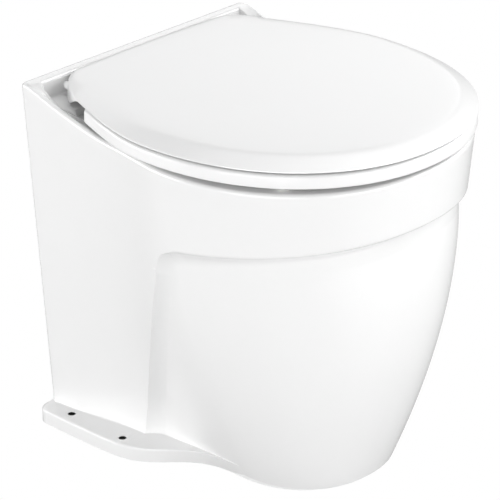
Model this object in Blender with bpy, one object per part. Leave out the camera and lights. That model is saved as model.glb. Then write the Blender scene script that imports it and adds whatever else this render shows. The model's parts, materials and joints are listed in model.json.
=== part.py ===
"""Compact electric marine toilet: china pan, seat and lid, macerator pump, check valve and rinse valve.

Metres, +Z up. The origin is on the deck under the middle of the toilet. The bulkhead is at +Y.
"""
import bpy
import bmesh
from math import sin, cos, acos, pi, radians, sqrt, exp
from mathutils import Vector, Matrix

MM = 0.001

# Spaces between pieces
GAP = 0.3 * MM
OVERRUN = 5 * MM

# Driving sizes: half the lid's width, the lid's reach in front, the back, the rim and the pump
LID_HALF = 180 * MM
LID_FRONT = 200.6 * MM
BACK_Y = 198.5 * MM
RIM_Z = 350 * MM
PUMP_R = 50 * MM
PUMP_CLEAR = 12 * MM
PUMP_Z = PUMP_R + PUMP_CLEAR

# Pan: heights
PARAPET_RISE = 25.5 * MM
PARAPET_Z = RIM_Z + PARAPET_RISE
DECK_RISE = 5 * MM
DECK_Z = RIM_Z + DECK_RISE
FLANGE_H = 15.5 * MM
BAND_H = 86 * MM
CREASE_SIDE_Z = RIM_Z - BAND_H
CREASE_RISE = 26 * MM
CREASE_CORNER_R = 30 * MM
RIM_THICK = 12 * MM
WALL = 9 * MM

# Pan: plan
LID_OVERHANG = 3 * MM
RIM_HALF = LID_HALF - LID_OVERHANG
RIM_SIDE_SWELL = 21 * MM
BACK_HALF = RIM_HALF - RIM_SIDE_SWELL
LID_CENTRE_Y = 3.4 * MM
LID_OVERHANG_FRONT = 2.7 * MM
RIM_CENTRE_Y = -14.5 * MM
RIM_FRONT = RIM_CENTRE_Y - LID_CENTRE_Y + LID_FRONT - LID_OVERHANG_FRONT
TAPER_BACK = 28 * MM
TAPER_FRONT = 31 * MM
FOOT_TUCK = 21 * MM
BACK_CORNER_R = 6 * MM
PARAPET_THICK = 14 * MM
WING_THICK = 12 * MM
WING_LEN = 123 * MM
WING_FRONT_Y = BACK_Y - WING_LEN
WING_INNER_LEN = 51 * MM
WING_INNER_Y = BACK_Y - WING_INNER_LEN
DECK_LEN = 54 * MM
DECK_FRONT_Y = BACK_Y - DECK_LEN
DECK_INSET = 23 * MM
DECK_HALF = BACK_HALF - DECK_INSET
DECK_STEP = 4 * MM
RIM_INSET = 20 * MM
RIM_EDGE_R = 4 * MM

# Pan: recess beside the foot
EDGE_FOOT_Y = 79 * MM
EDGE_TOP_Y = 5.5 * MM
EDGE_TOP_Z = CREASE_SIDE_Z - CREASE_CORNER_R
STEP_DRAFT = 4 * MM
RECESS_DEPTH = 11 * MM
CREASE_H = 4 * MM

# Pan: foot and flange
FOOT_TOP_INSET = 20 * MM
FOOT_TOP_HALF = RIM_HALF - FOOT_TOP_INSET
FOOT_TAPER = 68 * MM
FOOT_HALF = FOOT_TOP_HALF - FOOT_TAPER
FOOT_TOP_SET = 23 * MM
FOOT_TOP_FRONT = RIM_FRONT - FOOT_TOP_SET
FOOT_FRONT_TAPER = 71 * MM
FOOT_FRONT = FOOT_TOP_FRONT - FOOT_FRONT_TAPER
FOOT_CENTRE_Y = -39.5 * MM
FOOT_TOP_CENTRE_Y = -14.5 * MM
FLANGE_INSET = 8 * MM
FLANGE_HALF = BACK_HALF - FLANGE_INSET
BOLT_REAR_SET = 37 * MM
BOLT_PITCH = 74 * MM
BOLT_REAR_Y = BACK_Y - BOLT_REAR_SET
FLANGE_TURN_SET = 51 * MM
FLANGE_TURN_Y = BOLT_REAR_Y - BOLT_PITCH - FLANGE_TURN_SET
FLANGE_TURN_LEN = 15 * MM
FLANGE_EDGE_R = 4 * MM
FLANGE_CORNER_R = 13 * MM
FLANGE_FILLET = 4 * MM
WALL_FOOT_Z = 24 * MM
BOLT_R = 4 * MM
BOLT_INSET = 14 * MM
BOLT_X = FLANGE_HALF - BOLT_INSET

# Pan: bowl and openings
BOWL_CENTRE_Y = -35 * MM
RIM_WIDTH = 59 * MM
RIM_WIDTH_FRONT = 34.5 * MM
BOWL_HALF = RIM_HALF - RIM_WIDTH
BOWL_FRONT = BOWL_CENTRE_Y - RIM_CENTRE_Y + RIM_FRONT - RIM_WIDTH_FRONT
BOWL_REAR = 112 * MM
BOWL_WALL = 9 * MM
OUTLET_R = 22.5 * MM
OUTLET_OUT_R = 29 * MM
BOOT_BEND_R = 44 * MM
BOOT_STRAIGHT = 4 * MM
OUTLET_LEN = 22 * MM
OUTLET_LOW_Z = PUMP_Z + BOOT_BEND_R + BOOT_STRAIGHT
OUTLET_TOP_Z = OUTLET_LOW_Z + OUTLET_LEN
SERVICE_HALF = 80 * MM
SERVICE_LOW_Z = 26 * MM
SERVICE_R = 18 * MM
NOZZLE_DROP = 32 * MM
NOZZLE_Z = RIM_Z - NOZZLE_DROP
NOZZLE_R = 10 * MM

# Seat and lid
LID_REAR_GAP = 1.5 * MM
LID_REAR_Y = BACK_Y - PARAPET_THICK - LID_REAR_GAP
HINGE_SET = 14 * MM
HINGE_Y = LID_REAR_Y - HINGE_SET
SEAT_GAP = 6 * MM
SEAT_LOW_Z = RIM_Z + SEAT_GAP
SEAT_THICK = 14 * MM
HINGE_Z = SEAT_LOW_Z + SEAT_THICK
PIN_R = 4 * MM
KNUCKLE_R = 6.6 * MM
LID_CORNER_R = 10 * MM
LID_EDGE_RISE = 2.2 * MM
LID_EDGE_Z = HINGE_Z + LID_EDGE_RISE
LID_REAR_DROP = 2 * MM
LID_REAR_Z = HINGE_Z - LID_REAR_DROP
LID_SIDE_H = 10.1 * MM
LID_SHOULDER_Z = LID_EDGE_Z + LID_SIDE_H
LID_DOME = 4.2 * MM
LID_TOP_Z = LID_SHOULDER_Z + LID_DOME
LID_WALL = 4.5 * MM
EAR_CLEAR = 2 * MM
EAR_LOW_Z = DECK_Z + EAR_CLEAR
EAR_LEN = 13 * MM
EAR_FRONT_Y = HINGE_Y - EAR_LEN
SEAT_INSET = 0.6 * MM
SEAT_REAR_SET = 29.5 * MM
SEAT_REAR_Y = HINGE_Y - SEAT_REAR_SET
SEAT_WIDTH = 75 * MM
SEAT_WIDTH_FRONT = 41.2 * MM
SEAT_HOLE_Y = -38 * MM
SEAT_HOLE_HALF = LID_HALF - SEAT_WIDTH
SEAT_HOLE_FRONT = SEAT_HOLE_Y - LID_CENTRE_Y + LID_FRONT - SEAT_WIDTH_FRONT
SEAT_HOLE_REAR = 100 * MM
PIN_END_SHARE = 0.68
PIN_END_X = LID_HALF * PIN_END_SHARE
LUG_INSET = 22.5 * MM
LUG_W = 11.5 * MM
LUG_X1 = PIN_END_X - LUG_INSET
LUG_X0 = LUG_X1 - LUG_W
POST_SET = 11 * MM
POST_X = LUG_X0 - POST_SET
POST_W = 20 * MM
POST_LEG = 6 * MM
STUD_R = 4 * MM
SEAT_EDGE_R = 3 * MM
SEAT_SIDES = 56
LID_TUCK_LEN = 52.5 * MM
LID_TUCK_Y = LID_REAR_Y - LID_TUCK_LEN
LID_TUCK_SHARE = 0.0778
LID_MIDDLE_Y = -15 * MM
# Lid edge, in steps of inset and drop below the shoulder, for the bevel in front and the roll at the rear
LID_BEVEL = ((0, 0), (0.8 * MM, 9.5 * MM), (5 * MM, 5.5 * MM), (12 * MM, 2.2 * MM), (20 * MM, 0.4 * MM))
LID_ROLL = ((0, 0), (0.8 * MM, 8.5 * MM), (4 * MM, 3.6 * MM), (9 * MM, 0.8 * MM), (14 * MM, 0))
LID_UNDER = ((4.5 * MM, 0), (5.5 * MM, 4.5 * MM), (10 * MM, 2.2 * MM), (15 * MM, 0.7 * MM),
             (21 * MM, 0.2 * MM))
LID_ROLL_UNDER = ((4.5 * MM, 0), (5.4 * MM, 4.8 * MM), (8 * MM, 1.8 * MM), (11.5 * MM, 0.3 * MM),
                  (15.5 * MM, 0))
NOTCH_SET = 3.5 * MM
NOTCH_X0 = POST_X - POST_W / 2 - NOTCH_SET
SPACER_LEN = 7 * MM
NOTCH_X1 = LUG_X1 + SPACER_LEN
NOTCH_TOP_Z = HINGE_Z + KNUCKLE_R + GAP
RELIEF_DEPTH = 5 * MM
RELIEF_R = HINGE_Z - DECK_Z + RELIEF_DEPTH
RELIEF_INSET = 17 * MM
RELIEF_W = 10 * MM
RELIEF_X0 = PIN_END_X - RELIEF_INSET
RELIEF_X1 = RELIEF_X0 + RELIEF_W
RELIEF_STEPS = 8
PIN_DOME = 1.2 * MM
SPACER_R = 5.4 * MM
LUG_ARM_BELOW = 7 * MM
LUG_ROOT = 12 * MM
LUG_STEPS = 10
POST_TOE = 6 * MM
STUD_BELOW = 24 * MM
WASHER_R = 11 * MM
WASHER_H = 2.5 * MM
NUT_R = 9 * MM
NUT_H = 8 * MM
SEAT_PAD_R = 6 * MM
# Pads' places, as shares of the lid's half width and of its reach in front
SEAT_PAD_FRONT_SHARES = (0.683, 0.61)
SEAT_PAD_REAR_SHARE = 0.833
LID_PAD_SHARES = (0.611, 0.565)
SEAT_PAD_FRONT_X = LID_HALF * SEAT_PAD_FRONT_SHARES[0]
SEAT_PAD_FRONT_Y = LID_CENTRE_Y - LID_FRONT * SEAT_PAD_FRONT_SHARES[1]
SEAT_PAD_REAR_X = LID_HALF * SEAT_PAD_REAR_SHARE
SEAT_PAD_REAR_Y = 55 * MM
LID_PAD_R = 5 * MM
LID_PAD_X = LID_HALF * LID_PAD_SHARES[0]
LID_PAD_Y = LID_CENTRE_Y - LID_FRONT * LID_PAD_SHARES[1]

# Bowl outlet boot
BOOT_WALL = 4 * MM
BOOT_SIDES = 20
BOOT_IN_R = (OUTLET_OUT_R + GAP) / cos(pi / BOOT_SIDES)
BOOT_OUT_R = BOOT_IN_R + BOOT_WALL
BEND_STEPS = 6
BOOT_LAP = 20 * MM
CLAMP_T = 1.6 * MM
CLAMP_W = 10 * MM
CLAMP_LUG = 9 * MM
CLAMP_INSET = 4 * MM

# Macerator pump, on an axis along Y
COVER_T = 6 * MM
INLET_LEN = 18 * MM
INLET_BORE_R = 25 * MM
PUMP_WALL = 10 * MM
CHAMBER_R = PUMP_R - PUMP_WALL
CHAMBER_LEN = 37 * MM
PUMP_BACK_T = 6 * MM
SCREWS = 3
SCREW_R = 2.2 * MM
SCREW_INSET = 4.8 * MM
SCREW_RING_R = PUMP_R - SCREW_INSET
SCREW_HEAD_R = 4 * MM
SCREW_HEAD_H = 3.5 * MM
SCREW_LEN = 26 * MM
PLATE_T = 3 * MM
PLATE_WIDTH = 16 * MM
PLATE_BORE_R = CHAMBER_R - PLATE_WIDTH
BLADE_T = 3 * MM
BLADE_CLEAR = 3 * MM
BLADE_R = CHAMBER_R - BLADE_CLEAR
BLADE_W = 12 * MM
HUB_R = 9 * MM
HUB_NOSE = 6 * MM
IMPELLER_CLEAR = 4 * MM
IMPELLER_R = CHAMBER_R - IMPELLER_CLEAR
IMPELLER_DISC = 3 * MM
VANE_H = 11 * MM
VANE_T = 3 * MM
VANES = 6
SHAFT_R = 4 * MM
SEAL_R = 10 * MM

# Motor
FRONT_CAP_T = 9 * MM
CAN_R = 36 * MM
CAN_T = 1.6 * MM
CAN_LEN = 48 * MM
REAR_CAP_T = 10 * MM
BEARING_R = 10 * MM
BEARING_W = 6 * MM
MAGNET_T = 5 * MM
MAGNET_ARC_SHARE = 0.36
MAGNET_INSET = 6 * MM
MAGNET_STEPS = 8
CORE_INSET = 9 * MM
CAP_TAPER = 1.5 * MM
ARMATURE_R = 26.5 * MM
ARMATURE_LEN = 27 * MM
SLOTS = 9
COMMUTATOR_R = 10 * MM
COMMUTATOR_LEN = 9 * MM
BRUSH_W = 5 * MM
BRUSH_LEN = 12 * MM
MOTOR_ROOM = 2.6 * MM
BOOT_REACH = 65 * MM
PUMP_LEN = COVER_T + GAP + CHAMBER_LEN + PUMP_BACK_T
MOTOR_LEN = GAP + FRONT_CAP_T + CAN_LEN + GAP + REAR_CAP_T
PUMP_FRONT_Y = BACK_Y - WALL - MOTOR_ROOM - MOTOR_LEN - PUMP_LEN
OUTLET_Y = PUMP_FRONT_Y - BOOT_REACH

# Cradle under the pump
CRADLE_T = 3 * MM
CRADLE_HALF = 60 * MM
CRADLE_SET = 48 * MM
CRADLE_LEN = 54 * MM
CRADLE_FRONT_Y = PUMP_FRONT_Y + CRADLE_SET
CRADLE_REAR_Y = CRADLE_FRONT_Y + CRADLE_LEN
SADDLE_HALF = 30 * MM
SADDLE_SET = 9 * MM
SADDLE_FRONT_Y = CRADLE_FRONT_Y + SADDLE_SET
SADDLE_DROP = 31 * MM
STRAP_W = 12 * MM
STRAP_SET = 28 * MM
STRAP_Y = CRADLE_FRONT_Y + STRAP_SET

# Discharge: check valve and elbow, on an axis along Z
DISCHARGE_X = 22 * MM
NECK_OUT_R = 17.5 * MM
NECK_IN_R = 14 * MM
NECK_LEN = 10 * MM
NECK_TOP_Z = PUMP_Z + PUMP_R + NECK_LEN
VALVE_R = 24 * MM
VALVE_POCKET_R = 20 * MM
VALVE_LAP = 8 * MM
VALVE_SEAT_T = 4 * MM
VALVE_LEN = 30 * MM
SPIGOT_LEN = 10 * MM
FLAP_R = 16.5 * MM
FLAP_T = 2.5 * MM
FLAP_EYE_R = 2.2 * MM
FLAP_EYE_LEN = 12 * MM
ELBOW_BEND_R = 26 * MM
ELBOW_R = 17.5 * MM
ELBOW_SOCKET_R = 22.5 * MM
ELBOW_END_SET = 6.5 * MM
ELBOW_END_Y = BACK_Y - ELBOW_END_SET
ELBOW_LOW_Z = NECK_TOP_Z + GAP + VALVE_LEN + SPIGOT_LEN + CLAMP_T * 2
ELBOW_TOP_Z = ELBOW_LOW_Z + ELBOW_BEND_R
SERVICE_ROOM = 48.5 * MM
SERVICE_TOP_Z = ELBOW_TOP_Z + SERVICE_ROOM
BARB_R = 19 * MM
BARB_PITCH = 6 * MM
BARBS = 4

# Rinse water: solenoid valve, hose and rim nozzle
RINSE_X = -66 * MM
RINSE_SET = 32 * MM
RINSE_Y = CRADLE_FRONT_Y + RINSE_SET
RINSE_Z = 168 * MM
RINSE_BODY = 26 * MM
RINSE_BODY_H = 20 * MM
BARB_LEN = 14 * MM
RINSE_TUBE_R = 6 * MM
RINSE_BORE_R = 3.5 * MM
COIL_R = 14 * MM
COIL_H = 28 * MM
GUIDE_R = 6 * MM
GUIDE_WALL = 1 * MM
PLUNGER_R = 4.5 * MM
PLUNGER_LEN = 14 * MM
SPRING_R = 3.4 * MM
SPRING_WIRE_R = 0.5 * MM
SPRING_TURNS = 5
HOSE_WALL = 2 * MM
HOSE_SIDES = 12
HOSE_STEP = 13 * MM
HOSE_REACH = 54 * MM
NOZZLE_FLANGE_T = 3 * MM
NOZZLE_NUT_R = 15 * MM
NOZZLE_NUT_T = 7 * MM
NUT_SIDES = 6
STAND_W = 22 * MM
STAND_T = 2.5 * MM
TERMINAL_W = 26 * MM
TERMINAL_H = 22 * MM
TERMINAL_D = 14 * MM
TERMINAL_Z = 96 * MM

# Outline exponents and shares
RIM_POWER = 2.117
FOOT_POWER_LOW = 2.15
FOOT_POWER_TOP = 2.4
TUCK_POWER = 2.4
SEAT_REAR_POWER = 4.2
SWELL_SHARE = 0.36
TUCK_SHARE = 1 / 3
BACK_SHARES = (0, 0.25, 0.5, 0.75, 1)
SIDE_SHARES = (0, 0.12, 0.24, 0.38, 0.52, 0.66, 0.8, 0.92, 1)
RECESS_SHARES = (0, 0.14, 0.28, 0.45, 0.7)
FRONT_SHARES = (0, 0.08, 0.18, 0.3, 0.42, 0.54, 0.66, 0.78, 0.89, 1)
LID_NARROW_SHARE = 0.635
LID_FLARE_SHARE = 0.353
LID_REAR_SHARES = (0, 0.3, 0.62, 0.95, 1)
LID_CORNER_SHARES = (0.33, 0.66, 1)
LID_SIDE_SHARES = (0.1, 0.115, 0.22, 0.36, 0.5, 0.66, 0.83, 1)
LID_CROWN_SHARES = ((0.8, 0.35), (0.55, 0.75), (0.28, 0.95))
LUG_ARC_SHARE = 0.62
LUG_FOOT_SHARE = 0.12
FOOT_GROW_POWER = 1.75
CREASE_POWER = 0.8
WING_POWER_OUT = 1.6
WING_POWER_IN = 0.8
WALL_SHARES = (0, 0.12, 0.3, 0.5, 0.7, 0.87)
BAND_SHARES = (0, 0.12, 0.4, 0.75)
EDGE_SHARES = ((1, 0), (0.3, 0.3), (0, 1))
INNER_SHARES = (0.9, 0.7, 0.5, 0.3, 0.1)
DECK_STEP_SHARES = (1 / 3, 1)
SLOT_FLOOR_SHARE = 0.7
STRAP_END_SHARE = 0.45


# Scene and material helpers
def clear_scene():
    for thing in list(bpy.data.objects):
        bpy.data.objects.remove(thing, do_unlink=True)


def material(name, colour, roughness, metallic=0.0):
    mat = bpy.data.materials.new(name)
    mat.use_nodes = True
    shader = mat.node_tree.nodes["Principled BSDF"]
    shader.inputs["Base Color"].default_value = (*colour, 1)
    shader.inputs["Roughness"].default_value = roughness
    shader.inputs["Metallic"].default_value = metallic
    mat.diffuse_color = (*colour, 1)
    return mat


def finish_mesh(bm, name, mat, smooth=30):
    bmesh.ops.recalc_face_normals(bm, faces=bm.faces)
    mesh = bpy.data.meshes.new(name)
    bm.to_mesh(mesh)
    bm.free()
    if mat:
        mesh.materials.append(mat)
    mesh.shade_smooth()
    mesh.set_sharp_from_angle(angle=radians(smooth))
    obj = bpy.data.objects.new(name, mesh)
    bpy.context.collection.objects.link(obj)
    return obj


def boolean(target, tool, operation="DIFFERENCE"):
    mod = target.modifiers.new(tool.name, "BOOLEAN")
    mod.operation = operation
    mod.solver = "EXACT"
    mod.object = tool
    target.modifiers.new("triangles", "TRIANGULATE")
    tool.parent = target
    tool.hide_render = True
    tool.display_type = "WIRE"


def pivot(name, place, pieces, parent=None):
    """An empty on a joint's axis, carrying the pieces that move about it."""
    place = Vector(place)
    empty = bpy.data.objects.new(name, None)
    bpy.context.collection.objects.link(empty)
    empty.parent = parent
    empty.location = place - parent.location if parent else place
    for piece in pieces:
        obj = bpy.data.objects[piece]
        obj.parent = empty
        obj.location = -place
    return empty


# Shape helpers
def bridge_rings(bm, rings, closed=False):
    """Joins rings of equal length in turn with quads, and the last to the first if closed."""
    rows = [[bm.verts.new(p) for p in ring] for ring in rings]
    pairs = list(zip(rows, rows[1:]))
    if closed:
        pairs.append((rows[-1], rows[0]))
    for low, high in pairs:
        count = len(low)
        for i in range(count):
            j = (i + 1) % count
            bm.faces.new((low[i], low[j], high[j], high[i]))
    return rows


def ring_points(radius, axis_point, axis, sides, start=0.0):
    """Points of a circle about an axis through axis_point."""
    turn = axis.to_track_quat("Z", "Y")
    points = []
    for i in range(sides):
        angle = start + 2 * pi * i / sides
        points.append(axis_point + turn @ Vector((radius * cos(angle), radius * sin(angle), 0)))
    return points


def turned(name, mat, base, axis, profile, sides=24):
    """A solid of revolution: profile is (along, radius) pairs, closed by the axis or by itself."""
    axis = Vector(axis).normalized()
    base = Vector(base)
    bm = bmesh.new()
    closed = profile[0][1] > 0 and profile[-1][1] > 0 and profile[0] == profile[-1]
    pairs = profile[:-1] if closed else profile
    rows = []
    for along, radius in pairs:
        centre = base + axis * along
        if radius == 0:
            rows.append([bm.verts.new(centre)])
        else:
            rows.append([bm.verts.new(p) for p in ring_points(radius, centre, axis, sides)])
    steps = list(zip(rows, rows[1:]))
    if closed:
        steps.append((rows[-1], rows[0]))
    for low, high in steps:
        for i in range(sides):
            j = (i + 1) % sides
            if len(low) == 1:
                bm.faces.new((low[0], high[j], high[i]))
            elif len(high) == 1:
                bm.faces.new((low[i], low[j], high[0]))
            else:
                bm.faces.new((low[i], low[j], high[j], high[i]))
    return finish_mesh(bm, name, mat)


def pipe_profile(start, end, outer, inner):
    """A plain tube's closed profile."""
    return [(start, inner), (start, outer), (end, outer), (end, inner), (start, inner)]


def rod_profile(start, end, radius):
    return [(start, 0), (start, radius), (end, radius), (end, 0)]


def slab(name, mat, low, high, bevel=0.0, axis=2, segments=3):
    """A box between two corners, with its edges along one axis rounded."""
    low, high = Vector(low), Vector(high)
    bm = bmesh.new()
    bmesh.ops.create_cube(bm, size=1)
    middle, extent = (low + high) / 2, high - low
    for vert in bm.verts:
        vert.co = Vector(middle[i] + vert.co[i] * extent[i] for i in range(3))
    if bevel > 0:
        along = [e for e in bm.edges if abs((e.verts[0].co - e.verts[1].co)[axis]) > extent[axis] / 2]
        bmesh.ops.bevel(bm, geom=along, offset=bevel, segments=segments, affect="EDGES", profile=0.5)
    return finish_mesh(bm, name, mat)


def extruded(name, mat, outline, axis, start, end):
    """A flat outline of (u, v) pairs pushed along X, Y or Z."""
    def place(u, v, along):
        if axis == 0:
            return Vector((along, u, v))
        if axis == 1:
            return Vector((u, along, v))
        return Vector((u, v, along))
    bm = bmesh.new()
    low = [bm.verts.new(place(u, v, start)) for u, v in outline]
    high = [bm.verts.new(place(u, v, end)) for u, v in outline]
    bm.faces.new(low)
    bm.faces.new(high)
    for i in range(len(low)):
        j = (i + 1) % len(low)
        bm.faces.new((low[i], low[j], high[j], high[i]))
    return finish_mesh(bm, name, mat)


def smooth_path(points, step):
    """Points about a step apart on a Catmull-Rom curve through the route's own points."""
    pts = [Vector(p) for p in points]
    pts = [pts[0] * 2 - pts[1]] + pts + [pts[-1] * 2 - pts[-2]]
    path = []
    for a, b, c, d in zip(pts, pts[1:], pts[2:], pts[3:]):
        count = max(1, round((c - b).length / step))
        for i in range(count):
            t = i / count
            path.append(0.5 * (2 * b + (c - a) * t + (2 * a - 5 * b + 4 * c - d) * t * t
                               + (3 * b - a - 3 * c + d) * t * t * t))
    path.append(pts[-2])
    return path


def hollow_sweep(name, mat, path, outer, inner, sides=16):
    """A tube with a bore along a path; outer is one radius or a list of one per point."""
    outers = outer if isinstance(outer, list) else [outer] * len(path)
    tangents = []
    for i in range(len(path)):
        before, after = path[max(i - 1, 0)], path[min(i + 1, len(path) - 1)]
        tangents.append((after - before).normalized())
    side = tangents[0].orthogonal().normalized()
    frames = []
    for tangent in tangents:
        side = (side - tangent * side.dot(tangent)).normalized()
        frames.append((side.copy(), tangent.cross(side)))
    bm = bmesh.new()
    out_rows, in_rows = [], []
    for point, radius, (u, v) in zip(path, outers, frames):
        angles = [2 * pi * i / sides for i in range(sides)]
        out_rows.append([bm.verts.new(point + (u * cos(a) + v * sin(a)) * radius) for a in angles])
        in_rows.append([bm.verts.new(point + (u * cos(a) + v * sin(a)) * inner) for a in angles])
    loops = out_rows + in_rows[::-1]
    for low, high in list(zip(loops, loops[1:])) + [(loops[-1], loops[0])]:
        for i in range(sides):
            j = (i + 1) % sides
            bm.faces.new((low[i], low[j], high[j], high[i]))
    return finish_mesh(bm, name, mat)


# Pan outlines. Every ring has the same columns, from the middle of the back round to the front.
def columns():
    """Kind and share of each column of one half."""
    cols = [("back", s) for s in BACK_SHARES]
    cols.append(("corner", 0.5))
    cols += [("side", s) for s in SIDE_SHARES]
    cols += [("recess", s) for s in RECESS_SHARES]
    cols += [("front", s) for s in FRONT_SHARES]
    return cols


def edge_y(z):
    """Where the rear box ends and the recess begins."""
    return EDGE_FOOT_Y + (EDGE_TOP_Y - EDGE_FOOT_Y) * min(1.0, z / EDGE_TOP_Z)


def fall(z):
    """Zero at the top of the pan and 1 at the foot."""
    return min(1.0, max(0.0, (PARAPET_Z - z) / (PARAPET_Z - WALL_FOOT_Z)))


def box_half(y, z):
    """Half width of the upper box and rear box at a depth and height."""
    share = min(1.0, max(0.0, (y - RIM_CENTRE_Y) / (BACK_Y - RIM_CENTRE_Y)))
    lowest = 1 / (1 + 1 / SWELL_SHARE ** 2)
    swell = (1 / (1 + (share / SWELL_SHARE) ** 2) - lowest) / (1 - lowest)
    taper = TAPER_FRONT + (TAPER_BACK - TAPER_FRONT) * share
    tuck = FOOT_TUCK * share * (1 - share) ** 2 / (TUCK_SHARE * (1 - TUCK_SHARE) ** 2)
    return BACK_HALF + RIM_SIDE_SWELL * swell - taper * fall(z) - tuck * fall(z) ** TUCK_POWER


def arc_point(half, front, centre, power, share):
    angle = share * pi / 2
    return half * cos(angle) ** (2 / power), centre - front * sin(angle) ** (2 / power)


def box_point(kind, share, z, inset=0.0, edge_shift=0.0):
    """A point of the box outline, drawn in by inset."""
    back = BACK_Y - inset
    corner = max(BACK_CORNER_R - inset, BACK_CORNER_R / 4)
    turn = edge_y(z) + edge_shift
    half_back = box_half(BACK_Y, z) - inset
    if kind == "back":
        return share * (half_back - corner), back
    if kind == "corner":
        return half_back - corner * (1 - sin(pi / 4)), back - corner * (1 - cos(pi / 4))
    if kind == "side":
        y = back - corner + (turn - back + corner) * share
        return box_half(y, z) - inset, y
    if kind == "recess":
        start = turn - STEP_DRAFT
        y = start + (RIM_CENTRE_Y - start) * share
        return box_half(y, z) - inset, y
    taper = TAPER_FRONT * fall(z)
    return arc_point(RIM_HALF - taper - inset, RIM_FRONT - taper - inset, RIM_CENTRE_Y, RIM_POWER, share)


def foot_sizes(z):
    """Half width, front reach, centre and outline power of the foot at a height."""
    share = min(1.0, max(0.0, z / CREASE_SIDE_Z))
    grow = 1 - (1 - share) ** FOOT_GROW_POWER
    half = FOOT_HALF + (FOOT_TOP_HALF - FOOT_HALF) * grow
    front = FOOT_FRONT + (FOOT_TOP_FRONT - FOOT_FRONT) * grow
    centre = FOOT_CENTRE_Y + (FOOT_TOP_CENTRE_Y - FOOT_CENTRE_Y) * share
    power = FOOT_POWER_LOW + (FOOT_POWER_TOP - FOOT_POWER_LOW) * share
    return half, front, centre, power


def foot_point(kind, share, z, inset=0.0, edge_shift=0.0):
    """A point of the foot's outline: the rear box behind the edge, the foot before it."""
    if kind in ("back", "corner", "side"):
        return box_point(kind, share, z, inset, edge_shift)
    half, front, centre, power = foot_sizes(z)
    if kind == "recess":
        turn = edge_y(z) + edge_shift
        start = turn - STEP_DRAFT
        y = start + (centre - start) * share
        run = (y - centre) / (turn - centre)
        rear = box_half(turn, z) - RECESS_DEPTH
        return half + (rear - half) * run ** 2 - inset, y
    return arc_point(half - inset, front - inset, centre, power, share)


def flange_point(kind, share, z, inset=0.0):
    """The deck flange at the rear, fading into the foot at the front."""
    half, front, centre, power = foot_sizes(z)
    if kind == "front":
        return arc_point(half - inset, front - inset, centre, power, share)
    x, y = foot_point(kind, share, z)
    swing = 1 / (1 + exp(-(y - FLANGE_TURN_Y) / FLANGE_TURN_LEN))
    out = max(half + (FLANGE_HALF - half) * swing, 0.0) - inset
    back = BACK_Y - inset
    if kind == "back":
        return share * (FLANGE_HALF - FLANGE_CORNER_R - inset), back
    if kind == "corner":
        bend = FLANGE_CORNER_R * (1 - sin(pi / 4))
        return FLANGE_HALF - inset - bend, back - bend
    return out, min(y, back - FLANGE_CORNER_R)


def crease_z(kind, share):
    """Height of the crease between the rim band and the foot, lowered in the recess's round corner."""
    _, y = box_point(kind, share, CREASE_SIDE_Z)
    ahead = max(0.0, (RIM_CENTRE_Y - y) / RIM_FRONT)
    z = CREASE_SIDE_Z + CREASE_RISE * ahead ** CREASE_POWER
    reach = max(0.0, EDGE_TOP_Y - y)
    if kind in ("back", "corner", "side"):
        reach = 0.0
    if reach < CREASE_CORNER_R:
        z -= CREASE_CORNER_R - sqrt(CREASE_CORNER_R ** 2 - (CREASE_CORNER_R - reach) ** 2)
    return z


def top_z(kind, y, front_y, power):
    """Height of the parapet and of the wings that fall from it to the rim."""
    if kind in ("back", "corner"):
        return PARAPET_Z
    share = min(1.0, max(0.0, (y - front_y) / (BACK_Y - PARAPET_THICK - front_y)))
    return RIM_Z + (PARAPET_Z - RIM_Z) * share ** power


def full_ring(half):
    """Mirrors one half's points, from the back to the front and back again."""
    other = [(-x, y, z) for x, y, z in half[-2:0:-1]]
    return [Vector(p) for p in half + other]


def outer_rings():
    """The pan's outside, from the deck up to its top edge."""
    rings = []
    cols = columns()
    for z, inset in ((0, 0), (FLANGE_H - FLANGE_EDGE_R, 0), (FLANGE_H, FLANGE_EDGE_R)):
        rings.append([(*flange_point(k, s, z, inset), z) for k, s in cols])
    foot = FLANGE_H + FLANGE_FILLET / 4
    ring = []
    for kind, s in cols:
        spread = FLANGE_FILLET if kind in ("side", "recess") else 0
        x, y = foot_point(kind, s, foot, -spread)
        ring.append((x, min(y, BACK_Y - BACK_CORNER_R) if kind == "side" else y, foot))
    rings.append(ring)
    for share in WALL_SHARES:
        ring = []
        for kind, s in cols:
            z = WALL_FOOT_Z + (crease_z(kind, s) - WALL_FOOT_Z) * share
            ring.append((*foot_point(kind, s, z), z))
        rings.append(ring)
    ring = []
    for kind, s in cols:
        z = crease_z(kind, s) - CREASE_H
        ring.append((*foot_point(kind, s, z), z))
    rings.append(ring)
    for share in BAND_SHARES:
        ring = []
        for kind, s in cols:
            low = crease_z(kind, s)
            _, y = box_point(kind, s, RIM_Z)
            high = top_z(kind, y, WING_FRONT_Y, WING_POWER_OUT) - RIM_EDGE_R
            z = low + (high - low) * share
            ring.append((*box_point(kind, s, z), z))
        rings.append(ring)
    for drop, inset in EDGE_SHARES:
        ring = []
        for kind, s in cols:
            x, y = box_point(kind, s, RIM_Z, RIM_EDGE_R * inset)
            z = top_z(kind, y, WING_FRONT_Y, WING_POWER_OUT) - RIM_EDGE_R * drop
            ring.append((*box_point(kind, s, z, RIM_EDGE_R * inset), z))
        rings.append(ring)
    return rings


def deck_z(kind, y):
    return DECK_Z if kind in ("back", "corner") or y > DECK_FRONT_Y else RIM_Z


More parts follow.
